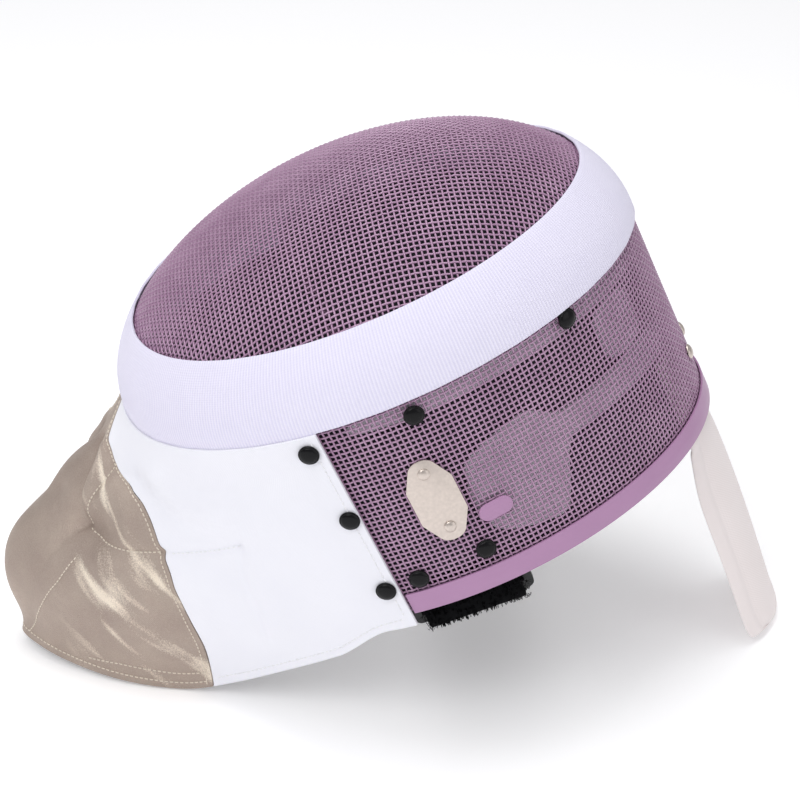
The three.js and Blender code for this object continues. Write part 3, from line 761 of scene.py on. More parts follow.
@dataclass(frozen=True)
class WovenCloth:
    """Plain woven cloth.

    Attributes:
        name: the cloth's name.
        shown: colour of its high threads.
        hollow_shade_and_patches: colour of painted shade between them, and of darker random
            patches.
        thread: thread pitch in metres.
        relief: depth of the weave in metres.
        rough: roughness.
    """

    name: str
    shown: tuple
    hollow_shade_and_patches: tuple
    thread: float = 0.0008
    relief: float = 0.00012
    rough: float = 0.85

    def make(self) -> bpy.types.Material:
        """Material of the cloth."""
        shade = Shade(self.name)
        cloth = shade.weave(self.thread)
        # Painted shade in the weave's hollows, mixed with darker random patches.
        tone = (cloth * 0.55 + shade.noise(25.0, 4.0) * 0.45).clipped()
        shade.set(
            Base_Color=shade.blend(tone, self.hollow_shade_and_patches, self.shown),
            Roughness=self.rough,
            Sheen_Weight=0.15,
            Sheen_Roughness=0.6,
        )
        shade.bump(cloth * 0.6 + shade.noise(120.0) * 0.4, self.relief, 0.7)
        return shade.material


@dataclass(frozen=True)
class MetallicCloth:
    """Woven metallic cloth: warm grey threads, metal shine and highlights painted into the colour.

    Attributes:
        shown: colour of the painted highlights.
        deep: colour of the threads.
        thread: thread pitch in metres.
        chin: middle of the cloth, where it has no painted highlights, in metres across it.
        streak_length, streak_width: waves per metre along and across the streaks and painted
            glints.
    """

    shown: tuple = (250, 238, 220)
    deep: tuple = (160, 143, 134)
    thread: float = 0.0007
    chin: float = 0.18
    streak_length: float = 9.0
    streak_width: float = 30.0

    def make(self) -> bpy.types.Material:
        """Material of the front panel."""
        shade = Shade("metallic cloth")
        across, down = shade.cloth_place()
        along, over = (across + down) * self.streak_length, (across - down) * self.streak_width
        place = shade.node("ShaderNodeCombineXYZ", {}, {0: along, 1: over}).outputs[0]
        noise = shade.node("ShaderNodeTexNoise", {}, {"Vector": place, "Scale": 1.0})
        streaks = Value(shade, noise.outputs[0])
        creases = shade.noise(30.0, 3.0)
        flecks = shade.noise(1300.0, 2.0)
        # Painted highlights: lighter on crease tops and flecks, brightest on glints off the chin.
        off_chin = across - self.chin
        painted_glint = (streaks * 6.0 - 3.9 + flecks * 1.3).clipped()
        painted_glint = painted_glint * (off_chin * off_chin * 260.0 - 0.8).clipped()
        tone = (creases * 0.3 + flecks * 0.3 + painted_glint * 0.8 - 0.15).clipped()
        shade.set(
            Base_Color=shade.blend(tone, self.deep, self.shown),
            Roughness=0.44 + 0.14 * flecks - 0.16 * painted_glint,
            Metallic=0.7,
        )
        shade.bump(shade.weave(self.thread) * 0.1 + streaks * 0.6 + creases * 0.3, 0.005, 0.6)
        return shade.material


@dataclass(frozen=True)
class PlainFinish:
    """Finish of a small fitting or of a thread.

    Attributes:
        name: the finish's name.
        shown: its colour.
        rough: roughness.
        metal: metalness.
        grain: waves per metre of its fine wear.
        gloss: level of its mirror-like share.
    """

    name: str
    shown: tuple
    rough: float
    metal: float = 0.0
    grain: float = 800.0
    gloss: float = 0.5

    def make(self) -> bpy.types.Material:
        """Material of the fitting."""
        shade = Shade(self.name)
        wear = shade.noise(self.grain)
        darker = tuple(c * 0.86 for c in self.shown)
        shade.set(
            Base_Color=shade.blend(wear, darker, self.shown),
            Roughness=self.rough + 0.1 * wear,
            Metallic=self.metal,
            Specular_IOR_Level=self.gloss,
        )
        shade.bump(wear, 0.00003, 0.5)
        return shade.material


class Finish(Enum):
    """Finishes of the mask, by the record's material slot."""

    WIRE = "mesh_paint"
    STRIP = "rim_paint"
    ELASTIC = "elastic"
    WHITE_CLOTH = "white_cloth"
    METALLIC_CLOTH = "metallic_cloth"
    LINING = "lining_cloth"
    # Dark backing cloth, also used as painted shade on the temple pads and inside the bib.
    BACKING = "lining_dark"
    TONGUE = "tongue_cloth"
    BLACK_ENAMEL = "black_enamel"
    STEEL = "plated_steel"
    PILE = "black_pile"
    PLASTIC = "black_plastic"


BLACK = (12, 12, 14)
MAKERS = {
    Finish.WIRE: WirePaint(),
    Finish.STRIP: StripPaint(),
    Finish.ELASTIC: RibbedElastic(),
    Finish.WHITE_CLOTH: WovenCloth(
        "white bib cloth", (245, 245, 250), (229, 229, 238), 0.0007, 0.0002
    ),
    Finish.METALLIC_CLOTH: MetallicCloth(),
    Finish.LINING: WovenCloth("lining cloth", (244, 240, 246), (210, 206, 216), 0.0012, 0.0002),
    Finish.BACKING: WovenCloth("backing cloth and painted shade", (40, 38, 52), (20, 19, 28), 0.0011, 0.0002),
    Finish.TONGUE: WovenCloth(
        "tongue cloth", (243, 235, 234), (227, 217, 215), 0.0006, 0.00008, 0.6
    ),
    Finish.BLACK_ENAMEL: PlainFinish("black snap enamel", BLACK, 0.15, gloss=0.18),
    Finish.STEEL: PlainFinish("plated steel", (220, 208, 199), 0.28, 0.9, grain=500.0),
    Finish.PILE: PlainFinish("black loop pile", BLACK, 0.95, grain=1500.0, gloss=0.1),
    Finish.PLASTIC: PlainFinish("black plastic", BLACK, 0.18, gloss=0.4),
}
THREADS = {
    Finish.METALLIC_CLOTH: PlainFinish("cream thread", (235, 224, 208), 0.7, grain=1200.0),
    Finish.WHITE_CLOTH: PlainFinish("white thread", (252, 252, 255), 0.7, grain=1200.0),
}


@cache
def material_of(maker: object) -> bpy.types.Material:
    """Material of a finish, made once."""
    return maker.make()


def dress(piece: Piece, finish: Finish, *nodes: str, sewn: bool = False) -> Piece:
    """Gives a piece its finish and its body, and hides the CAD nodes that it stands for.

    Args:
        piece: the piece.
        finish: its finish.
        nodes: CAD nodes that it stands for.
        sewn: whether it is the sewing thread of that cloth.

    Returns:
        The piece.
    """
    piece.data.materials.clear()
    piece.data.materials.append(material_of(THREADS[finish] if sewn else MAKERS[finish]))
    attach(piece, "root")
    if nodes:
        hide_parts(*nodes)
    LOG.info("%s: %d faces, finish %s", piece.name, len(piece.data.polygons), finish.value)
    return piece


# Woven wire


@dataclass
class WovenWire:
    """Square weave of round wires.

    Attributes:
        pitch: distance between wires in millimetres.
        wire: wire diameter in millimetres.
        surface_drop: depth of the weave's middle under the outer surface, in millimetres.
        crimp: share of the diameter by which a crossing wire stands off that middle.
    """

    pitch: float = 3.1
    wire: float = 1.2
    surface_drop: float = 1.0
    crimp: float = 0.32

    @property
    def thread(self) -> Thread:
        """The wire as a thread."""
        return Thread(self.wire / 2 * MM)

    def lift(self, parity: Array) -> Array:
        """How far a wire stands off the weave's middle at its crossings, in millimetres."""
        return np.where(np.asarray(parity) % 2 == 0, self.crimp, -self.crimp) * self.wire


@dataclass
class FaceMesh(WovenWire):
    """Face dome: a net of equal cells laid over the dome from its crown lines.

    Attributes:
        under_band: how far the wires run on under the band, in millimetres.
        longest, diagonals: most cells along a crown line, and most diagonals of cells.
        easing: share of a cell's error in length that each round takes away.
    """

    under_band: float = 15.0
    longest: int = 85
    diagonals: int = 140
    easing: float = 0.6

    def crown_lines(self) -> list:
        """Points at the wire pitch along the four crown lines, from the apex outwards."""
        heading = np.array([[1.0, 0, 0], [-1.0, 0, 0], [0, 1.0, 0], [0, -1.0, 0]])
        walk = [FORM.settle(np.repeat(FORM.bare_point(0, 0.02)[None], 4, axis=0), 5)]
        for _ in range(self.longest):
            ahead = FORM.settle(walk[-1] + heading * self.pitch)
            walk.append(FORM.settle(walk[-1] + unit(ahead - walk[-1]) * self.pitch))
            heading = unit(walk[-1] - walk[-2])
        lowest = -self.under_band - 6
        return [[step[k] for step in walk if step[k][2] > lowest] for k in range(4)]

    def next_cells(self, whole: dict, diagonal: int) -> list:
        """Cells of a diagonal whose three neighbours are known, with those neighbours."""
        cells = []
        lowest = -self.under_band - 3
        for a, b in ((1, 1), (1, -1), (-1, 1), (-1, -1)):
            for i in range(1, diagonal):
                j = diagonal - i
                keys = ((i - 1) * a, j * b), (i * a, (j - 1) * b), ((i - 1) * a, (j - 1) * b)
                known = [whole.get(key) for key in keys]
                if all(k is not None for k in known) and max(known[0][2], known[1][2]) > lowest:
                    cells.append(((i * a, j * b), known))
        return cells

    def net(self) -> dict:
        """Whole net of bare points by their place in it."""
        whole = {}
        for line, (across, side) in zip(self.crown_lines(), ((1, 0), (-1, 0), (0, 1), (0, -1))):
            whole.update({(k * across, k * side): p for k, p in enumerate(line)})
        for diagonal in range(2, self.diagonals):
            cells = self.next_cells(whole, diagonal)
            if not cells:
                break
            first, second, corner = (np.array([known[k] for _, known in cells]) for k in range(3))
            point = first + second - corner
            for _ in range(5):
                point = FORM.settle(point, 1)
                for end in (first, second):
                    gap = point - end
                    reach = np.linalg.norm(gap, axis=-1, keepdims=True)
                    point = point + gap / reach * (self.pitch - reach) * self.easing
            point = FORM.settle(point, 2)
            whole.update({key: p for (key, _), p in zip(cells, point)})
        return {k: p for k, p in whole.items() if p[2] > -self.under_band}

    def wires(self, net: dict, axis: int) -> list:
        """Lines of the wires that run along one axis of the net.

        Args:
            net: the net.
            axis: 0 or 1.

        Returns:
            Points and normals of each wire, in metres on the floor.
        """
        runs: list = []
        for key in sorted(net, key=lambda k: (k[1 - axis], k[axis])):
            before = (key[0] - 1, key[1]) if axis == 0 else (key[0], key[1] - 1)
            if runs and runs[-1][-1] == before:
                runs[-1].append(key)
            else:
                runs.append([key])
        lines = []
        for run in (r for r in runs if len(r) > 2):
            bare = np.array([net[k] for k in run])
            normals = unit(FORM.dome_gradient(bare))
            lifts = self.lift(np.array([k[0] + k[1] + axis for k in run])) - self.surface_drop
            middle = FORM.to_floor(bare + normals * lifts[:, None])
            lines.append((middle, FORM.turn_to_floor(normals)))
        return lines

    def build(self) -> None:
        """Weaves the dome's wires."""
        net, thread = self.net(), self.thread
        dress(thread.piece("face_wires_lengthwise", self.wires(net, 0)), Finish.WIRE, "face_mesh")
        dress(thread.piece("face_wires_crosswise", self.wires(net, 1)), Finish.WIRE)


@dataclass
class SideMesh(WovenWire):
    """Wall mesh: wires round the head and wires from the band to the rim.

    Attributes:
        end_angle: ring angle at which the mesh ends, under the bib.
        top_drop: depth at which it starts, under the band.
        foot_drop: depth at which it ends, inside the rim.
    """

    end_angle: float = 110.4
    top_drop: float = 36.0
    foot_drop: float = 170.6

    def angles(self) -> Array:
        """Ring angles of the upright wires, at the wire pitch along the wall."""
        fine = np.linspace(-self.end_angle, self.end_angle, 2401)
        run = run_along(FORM.bare_point(fine, 1.5))
        return np.interp(np.linspace(0, run[-1], int(run[-1] / self.pitch) + 1), run, fine)

    def build(self) -> None:
        """Weaves the wall's wires."""
        angles = self.angles()
        count = int((self.foot_drop - self.top_drop) / self.pitch)
        stations = FORM.station_at_drop(np.linspace(self.top_drop, self.foot_drop, count + 1))
        column, row = np.meshgrid(np.arange(len(angles)), np.arange(len(stations)))
        ring_angle, station = angles[column], stations[row]
        normals = FORM.outward(ring_angle, station)
        middle = FORM.point(ring_angle, station, -self.surface_drop)
        lift = (self.lift(row + column) * MM)[..., None]
        over, under = middle + normals * lift, middle - normals * lift
        hoops = [(over[r], normals[r]) for r in range(len(stations))]
        uprights = [(under[:, c], normals[:, c]) for c in range(len(angles))]
        dress(self.thread.piece("side_wires_round", hoops), Finish.WIRE, "side_mesh")
        dress(self.thread.piece("side_wires_upright", uprights), Finish.WIRE)


# Band and rim


@dataclass
class ElasticBand:
    """Elastic band over the joint of the two meshes.

    Attributes:
        thickness: thickness in millimetres.
        lift: gap to the mesh in millimetres.
        columns: cells round the band.
        ripples, ripple_height: number and height of the small waves along its edges.
    """

    thickness: float = 1.5
    lift: float = 0.7
    columns: int = 240
    ripples: int = 37
    ripple_height: float = 0.12

    def place(self, across: Array, down: Array) -> Array:
        """Points of the band's outer face, a little wavy near its edges."""
        station = FORM.station_at_drop(mix(-0.2, BAND_FOOT, down))
        near_edge = bell(np.minimum(down, 1 - down), 0.07)
        ripple = self.ripple_height * near_edge * np.sin(across * 2 * math.pi * self.ripples)
        return FORM.point(across * 360, station, self.lift + self.thickness + ripple)

    def build(self) -> None:
        """Wraps the band round the mask."""
        size = (0.88, 0.046)
        band = wrapped_grid("elastic_band_cloth", self.columns, 16, self.place, size, ring=True)
        thicken(band, self.thickness * MM, -1, 0.0004)
        smooth_shade(band, 50)
        dress(band, Finish.ELASTIC, "elastic_band")


@dataclass
class RimStrip:
    """Metal strip folded over the foot of the side mesh.

    Attributes:
        height: height of its outer face in millimetres.
        thickness: thickness of the metal.
        outer_gap, inner_gap: from the mask's surface to the metal's outer and inner leaf.
        fold_lift, fold_depth: the fold's start over the wall's foot, and its depth.
        end_angle: ring angle at which it ends.
    """

    height: float = 13.8
    thickness: float = 1.2
    outer_gap: float = 0.3
    inner_gap: float = 2.4
    fold_lift: float = 0.8
    fold_depth: float = 1.1
    end_angle: float = 104.9

    def section(self) -> Array:
        """Offset from the surface and depth of the fold's points, from outer to inner top."""
        top, foot = FORM.wall_depth - self.height, FORM.wall_depth - self.fold_lift
        out, inner = self.outer_gap + self.thickness, -self.inner_gap - self.thickness
        turn = np.linspace(0, math.pi, 9)
        offset = mix(out, inner, (1 - np.cos(turn)) / 2)
        bend = np.stack([offset, foot + self.fold_depth * np.sin(turn)], axis=1)
        outer = [(out, top), (out, top + 0.6), (out, mix(top, foot, 0.5))]
        return np.vstack([outer, bend, [(inner, top + 2)]])

    def build(self) -> None:
        """Folds the strip round the wall."""
        rows = self.section()

        def place(across: Array, down: Array) -> Array:
            """Points of the strip's outer skin."""
            offset, depth = rows[np.rint(down * (len(rows) - 1)).astype(int)].T
            angle = mix(-self.end_angle, self.end_angle, across)
            return FORM.point(angle, 1 + depth / FORM.wall_depth, offset)

        strip = wrapped_grid("rim_strip_metal", 130, len(rows) - 1, place, (0.7, 0.03))
        thicken(strip, (self.thickness - 0.05) * MM, -1, 0.0003)
        smooth_shade(strip, 40)
        dress(strip, Finish.STRIP, "rim_strip")


# Bib


@dataclass(frozen=True)
class Fold:
    """A crease, roll or sewn groove in the bib, along a line of places.

    Attributes:
        line: places along the half and falls, in order.
        height: how far it stands out in millimetres, less than 0 for a groove.
        width: half its width in millimetres.
    """

    line: tuple
    height: float
    width: float


@dataclass
class Bib:
    """Cloth bib: two white side pieces and a metallic front panel.

    Places run along the bib from 0, the wall's near end, through 1, the chin, to 2. Falls run
    from 0 under the band to 1 at the hem.

    Attributes:
        wall_end: ring angle at which the bib's lap on the wall ends.
        thickness: thickness of the cloth in millimetres.
        lap_lift: gap between the lap and the wall.
        foot_station: station at which the lap ends.
        reach: how far the hem stands forward.
        bulge: how far the front swells out.
        swell_drop, swell_edge: powers that move the swell down and flatten its edges.
        lap_end, lap_run: place at which the lap starts to leave the wall, and over how much.
        dimple_depth: depth of the pinched dart.
        dimple_at, dimple_size: its half and fall, and its spread over them.
        seam_gap: share of the place left between two cloths.
        spread: half's and fall's length in millimetres, for the width of folds.
        stitch: length of a stitch and its gap in millimetres.
        stitch_radius: radius of the sewing thread in metres.
    """

    wall_end: float = 105.4
    thickness: float = 2.5
    lap_lift: float = 0.9
    foot_station: float = 2.05
    reach: float = 205.5
    bulge: float = 31.8
    swell_drop: float = 1.35
    swell_edge: float = 1.64
    lap_end: float = 0.085
    lap_run: float = 0.12
    dimple_depth: float = 9.0
    dimple_at: tuple = (0.82, 0.43)
    dimple_size: tuple = (0.08, 0.075)
    seam_gap: float = 0.0012
    spread: tuple = (230.0, 150.0)
    stitch: float = 3.1
    stitch_radius: float = 0.00042
    hem: Table = Table(
        ("place", "forward", "side", "height", "bulge"),
        (
            (0, -0.131, 0.996, 0.333, 0),
            (0.118, -0.027, 0.883, 0.246, 0.06),
            (0.241, 0.106, 0.777, 0.174, 0.09),
            (0.355, 0.231, 0.672, 0.111, 0.13),
            (0.472, 0.363, 0.567, 0.05, 0.19),
            (0.572, 0.487, 0.486, 0.009, 0.28),
            (0.655, 0.602, 0.445, 0.006, 0.38),
            (0.741, 0.72, 0.381, 0.011, 0.5),
            (0.836, 0.839, 0.275, 0.0185, 0.66),
            (0.922, 0.938, 0.154, 0.028, 0.82),
            (1, 1, 0, 0.03, 1),
            (1.078, 0.938, -0.154, 0.028, 0.82),
        ),
    )
    seam: Table = Table(
        ("fall", "place"),
        (
            (0, 0.965),
            (0.07, 0.95),
            (0.13, 0.9),
            (0.19, 0.76),
            (0.26, 0.65),
            (0.41, 0.575),
            (0.6, 0.535),
            (0.8, 0.515),
            (1, 0.525),
        ),
    )
    folds: tuple = (
        Fold(((0.85, 0.43), (0.812, 0.188)), -1.2, 3.0),
        Fold(((0.85, 0.43), (0.77, 0.45), (0.575, 0.413)), -1.2, 3.0),
        Fold(((0.86, 0.45), (0.87, 0.53), (0.885, 0.638), (0.963, 0.975)), -1.0, 3.0),
        Fold(((0.963, 0.175), (0.895, 0.30), (0.875, 0.36), (0.86, 0.43)), -4.2, 4.5),
        Fold(((0.91, 0.16), (0.86, 0.27), (0.84, 0.36)), 2.2, 6.0),
        Fold(((0.963, 0.363), (1.0, 0.45)), -2.2, 6.0),
        Fold(((0.575, 0.413), (0.35, 0.413)), -1.5, 3.0),
        Fold(((0.35, 0.413), (0.35, 0.537), (0.35, 0.838)), -1.2, 4.0),
        Fold(((0.70, 0.188), (0.562, 0.25), (0.35, 0.41)), -2.6, 8.0),
        Fold(((0.60, 0.16), (0.44, 0.27), (0.30, 0.34)), 2.4, 9.0),
        Fold(((0.52, 0.55), (0.42, 0.72)), 2.0, 9.0),
        Fold(((0.70, 0.56), (0.63, 0.72), (0.60, 0.86)), 1.6, 9.0),
        Fold(((0.62, 0.50), (0.58, 0.66)), -1.0, 7.0),
        Fold(((0.78, 0.62), (0.74, 0.80)), -1.0, 9.0),
        Fold(((0.70, 0.24), (0.68, 0.36)), 1.2, 6.0),
    )

    def fold_relief(self, half: Array, fall: Array) -> Array:
        """Relief of all folds in millimetres."""
        scale = np.array(self.spread)
        at = np.stack([half, fall], axis=-1) * scale
        total = np.zeros(at.shape[:-1])
        for fold in self.folds:
            line = np.array(fold.line) * scale
            nearest = np.full(total.shape, 1e9)
            for start, end in zip(line[:-1], line[1:]):
                step = end - start
                share = np.clip(((at - start) @ step) / (step @ step), 0, 1)
                gap = np.linalg.norm(at - start - share[..., None] * step, axis=-1)
                nearest = np.minimum(nearest, gap)
            total += fold.height * bell(nearest, fold.width)
        return total

    def relief(self, half: Array, fall: Array) -> Array:
        """Relief of the cloth in millimetres: dart, roll, folds and a soft unevenness."""
        across = (half - self.dimple_at[0]) / self.dimple_size[0]
        down = (fall - self.dimple_at[1]) / self.dimple_size[1]
        dimple = -self.dimple_depth * np.exp(-(across**2 + down**2))
        roll = 3 * bell(fall - 0.29, 0.07) * smooth((half - 0.6) / 0.2)
        waves = np.sin(half * 31 + fall * 7) * np.sin(fall * 19 - half * 11)
        uneven = 0.5 * waves * smooth((half - 0.2) / 0.2)
        return dimple + roll + uneven + self.fold_relief(half, fall)

    def middle(self, place: Array, fall: Array) -> Array:
        """Points of the cloth's middle, in metres."""
        place, fall = np.broadcast_arrays(np.asarray(place, float), np.asarray(fall, float))
        half = np.where(place > 1, 2 - place, place)
        side = np.where(place > 1, -1.0, 1.0)
        angle = mix(self.wall_end, 360 - self.wall_end, place / 2)
        lap = self.lap_lift + self.thickness / 2
        top_station = float(FORM.station_at_drop(BAND_FOOT))
        top = FORM.point(angle, top_station, lap)
        wall = FORM.point(angle, mix(top_station, self.foot_station, fall), lap)
        forward = -self.hem.read("forward", half) * self.reach + FORM.forward_shift
        sideways = -side * self.hem.read("side", half) * (FORM.rim_width / 2)
        height = self.hem.read("height", half) * FORM.face_height
        hem = np.stack([forward, sideways, height], axis=-1)
        point = mix(top, hem * MM, fall[..., None])
        turn = np.radians(angle)
        outward = np.stack([np.cos(turn), -np.sin(turn), np.zeros_like(turn)], axis=-1)
        swell = np.maximum(0, np.sin(math.pi * fall**self.swell_drop)) ** self.swell_edge
        edge = 0.15
        eased = smooth(fall / edge) * smooth((1 - fall) / edge)
        push = self.hem.read("bulge", half) * self.bulge * swell + self.relief(half, fall) * eased
        point = point + outward * (push * MM)[..., None]
        on_wall = 1 - smooth((half - self.lap_end) / self.lap_run)
        return mix(point, wall, on_wall[..., None])

    def point(self, place: Array, fall: Array, offset: float = 0.0) -> Array:
        """Points at an offset in millimetres from the cloth's middle, kept over the floor."""
        step = 0.004
        far, near = np.minimum(2, place + step), np.maximum(0, place - step)
        low, high = np.minimum(1, fall + step), np.maximum(0, fall - step)
        across = self.middle(far, fall) - self.middle(near, fall)
        down = self.middle(place, low) - self.middle(place, high)
        outward = unit(np.cross(across, down))
        return keep_over_floor(self.middle(place, fall) + outward * offset * MM)

    def cloth(
        self, name: str, finish: Finish, node: str, columns: int, ends: Callable, flat: tuple
    ) -> None:
        """Makes one piece of the bib's cloth.

        Args:
            name: the piece's name.
            finish: its finish.
            node: the CAD node that it stands for.
            columns: cells along the bib.
            ends: gives the first and the last place at each fall.
            flat: width and height in metres that it was cut to.
        """

        def place(across: Array, down: Array) -> Array:
            """Points of the cloth's middle layer."""
            start, end = ends(down)
            return self.point(mix(start, end, across), down)

        piece = wrapped_grid(name, columns, 130, place, flat)
        thicken(piece, self.thickness * MM, 0, 0.0007)
        put_vertices(piece, keep_over_floor(vertices(piece)))
        smooth_shade(piece, 60)
        dress(piece, finish, node)
        self.paint_shade_inside(piece)
        area = cut_area(piece, 2.06, flat)

    def paint_shade_inside(self, piece: Piece) -> None:
        """Paints shade inside the bib: faces that look into the mask take the dark backing cloth.
        """
        piece.data.materials.append(material_of(MAKERS[Finish.BACKING]))
        faces = piece.data.polygons
        values = np.empty((2, len(faces) * 3))
        faces.foreach_get("center", values[0])
        faces.foreach_get("normal", values[1])
        centres, normals = values.reshape(2, -1, 3)
        turned_in = -0.35
        inside = (unit(centres - INSIDE_BIB) * normals).sum(-1) < turned_in
        faces.foreach_set("material_index", inside.astype(np.int32))
        piece.data.update()

    def stitches(self, name: str, finish: Finish, lines: Iterable) -> None:
        """Sews rows of stitches, given by their places and falls, on both halves of a cloth."""
        shares = np.array([0.08, 0.26, 0.62, 0.80])[:, None]
        height = np.array([-0.5, 0.12, 0.12, -0.5])[:, None] * MM
        sewn = []
        for line in lines:
            fine = evenly(np.asarray(line, float), 0.01)
            for place in (fine[:, 0], 2 - fine[:, 0]):
                on_cloth = self.point(place, fine[:, 1], self.thickness / 2)
                out = unit(on_cloth - self.point(place, fine[:, 1], 0.0))
                path = evenly(np.hstack([on_cloth, out]), self.stitch * MM)
                for start, end in zip(path[:-1], path[1:]):
                    at = mix(start[None], end[None], shares)
                    sewn.append((at[:, :3] + at[:, 3:] * height, at[:, 3:]))
        dress(Thread(self.stitch_radius, 5).piece(name, sewn), finish, sewn=True)

    def build(self) -> None:
        """Cuts, folds and sews the bib."""
        gap = self.seam_gap

        def seam(fall: Array) -> Array:
            """Place of the seam at each fall."""
            return self.seam.read("place", fall)

        def front(fall: Array) -> tuple:
            """First and last place of the front panel."""
            return seam(fall) + gap, 2 - seam(fall) - gap

        def left(fall: Array) -> tuple:
            """First and last place of the left side cloth."""
            return 0 * fall, seam(fall) - gap

        def right(fall: Array) -> tuple:
            """First and last place of the right side cloth."""
            return 2 - seam(fall) + gap, 0 * fall + 2

        white, metallic, side_flat = Finish.WHITE_CLOTH, Finish.METALLIC_CLOTH, (0.21, 0.20)
        self.cloth("bib_front_cloth", metallic, "bib_front_panel", 180, front, (0.36, 0.22))
        self.cloth("bib_side_left_cloth", white, "bib_side_left", 90, left, side_flat)
        self.cloth("bib_side_right_cloth", white, "bib_side_right", 90, right, side_flat)
        fall = np.linspace(0.02, 0.99, 60)
        inset = 0.014
        hem_from = float(seam(0.95)) + inset
        hem_to = float(seam(0.962)) - 0.01
        self.stitches(
            "front_panel_stitches",
            metallic,
            [
                np.stack([seam(fall) + inset, fall], axis=1),
                [(hem_from, 0.972), (1.0, 0.972)],
                [(hem_from, 0.93), (0.72, 0.925), (0.80, 0.945)],
                [(0.85, 0.43), (0.835, 0.32), (0.812, 0.188), (0.80, 0.165)],
                [(0.84, 0.44), (0.77, 0.45), (0.66, 0.435), (0.585, 0.414)],
                [(0.812, 0.525), (0.838, 0.638), (0.963, 0.975)],
            ],
        )
        self.stitches(
            "side_cloth_stitches",
            white,
            [
                [(0.03, 0.955), (0.10, 0.962), (0.3, 0.962), (hem_to, 0.962)],
                [(0.55, 0.419), (0.35, 0.419)],
                [(0.022, 0.03), (0.022, 0.94)],
            ],
        )


# Lining, backing and tongue

# A flared strip widens over a run of ring angles to these shares of the wall's depth.
FLARE_RUN, FLARED_TOP, FLARED_FOOT = 9.0, 0.24, 0.97


@dataclass(frozen=True)
class Pad:
    """A padded strip inside the wall.

    Attributes:
        node: the CAD node that it stands for.
        start, end: ring angles.
        top, foot: shares of the wall's depth.
        face: offset of its outer face from the mask's surface in millimetres.
        thickness: thickness in millimetres.
        flare_from: ring angle from which it widens towards its ends.
        finish: its finish.
    """

    node: str
    start: float
    end: float
    top: float
    foot: float
    face: float = -2.7
    thickness: float = 3.8
    flare_from: float = 180.0
    finish: Finish = Finish.LINING

    def place(self, turn: Array, share: Array) -> Array:
        """Points of the pad, whose section is a flat rounded bar."""
        ends = np.clip(np.sin(math.pi * share), 0, 1) ** 0.22
        wide = blunted(np.cos(turn), 0.4) * ends
        deep = blunted(np.sin(turn), 0.55) * ends
        even = 0.5 - 0.5 * np.cos(math.pi * share)
        angle = mix(self.start, self.end, mix(share, even, 0.12))
        flare = smooth((np.abs(angle) - self.flare_from) / FLARE_RUN)
        top, foot = mix(self.top, FLARED_TOP, flare), mix(self.foot, FLARED_FOOT, flare * 0.9)
        station = 1 + mix(top, foot, 0.5 + wide / 2)
        return FORM.point(angle, station, self.face - self.thickness / 2 * (1 - deep))

    def build(self) -> None:
        """Lays the pad inside the wall."""
        length = abs(self.end - self.start) * 2.4 * MM
        height = (self.foot - self.top) * FORM.wall_depth * MM
        along = max(24, round(length / 0.006))
        piece = wrapped_ball(self.node + "_pad", 40, along, self.place, (height * 2.1, length))
        dress(piece, self.finish, self.node)


PADS = (
    Pad("lining_upper", -101, 101, 0.01, 0.12),
    Pad("lining_middle", -84, 84, 0.4, 0.55, flare_from=58),
    # The temple pads take the dark backing cloth as painted shade behind the plate.
    Pad("lining_temple_left", 84.4, 101, 0.124, 0.86, finish=Finish.BACKING),
    Pad("lining_temple_right", -101, -84.4, 0.124, 0.86, finish=Finish.BACKING),
    Pad("lining_back_left", 26, 42, 0.124, 0.396),
    Pad("lining_back_right", -42, -26, 0.124, 0.396),
)


@dataclass(frozen=True)
class Backing:
    """Thin dark cloth behind the strips.

    Attributes:
        node: the CAD node that it stands for.
        start, end: ring angles.
        top, foot: shares of the wall's depth.
        face: offset of its outer face in millimetres.
        thickness: thickness in millimetres.
    """

    node: str
    start: float
    end: float
    top: float
    foot: float
    face: float = -7.0
    thickness: float = 1.3

    def build(self) -> None:
        """Lays the backing inside the wall."""

        def place(across: Array, down: Array) -> Array:
            """Points of the cloth's outer face."""
            angle = mix(self.start, self.end, across)
            ripple = 0.15 * np.sin(angle * 0.9) * np.sin(down * 9)
            return FORM.point(angle, 1 + mix(self.top, self.foot, down), self.face + ripple)

        height = (self.foot - self.top) * FORM.wall_depth * 1.1 * MM
        flat = (abs(self.end - self.start) * 2.7 * MM, height)
        piece = wrapped_grid(self.node + "_cloth", 48, 20, place, flat)
        thicken(piece, self.thickness * MM, -1, 0.0003)
        smooth_shade(piece, 50)
        dress(piece, Finish.BACKING, self.node)
        area = cut_area(piece, 2.05, flat)


BACKINGS = (
    Backing("lining_backing_top", -24.6, 24.6, -0.02, 0.6),
    Backing("lining_backing_left", 25, 109, -0.02, 0.96),
    Backing("lining_backing_right", -109, -25, -0.02, 0.96),
)


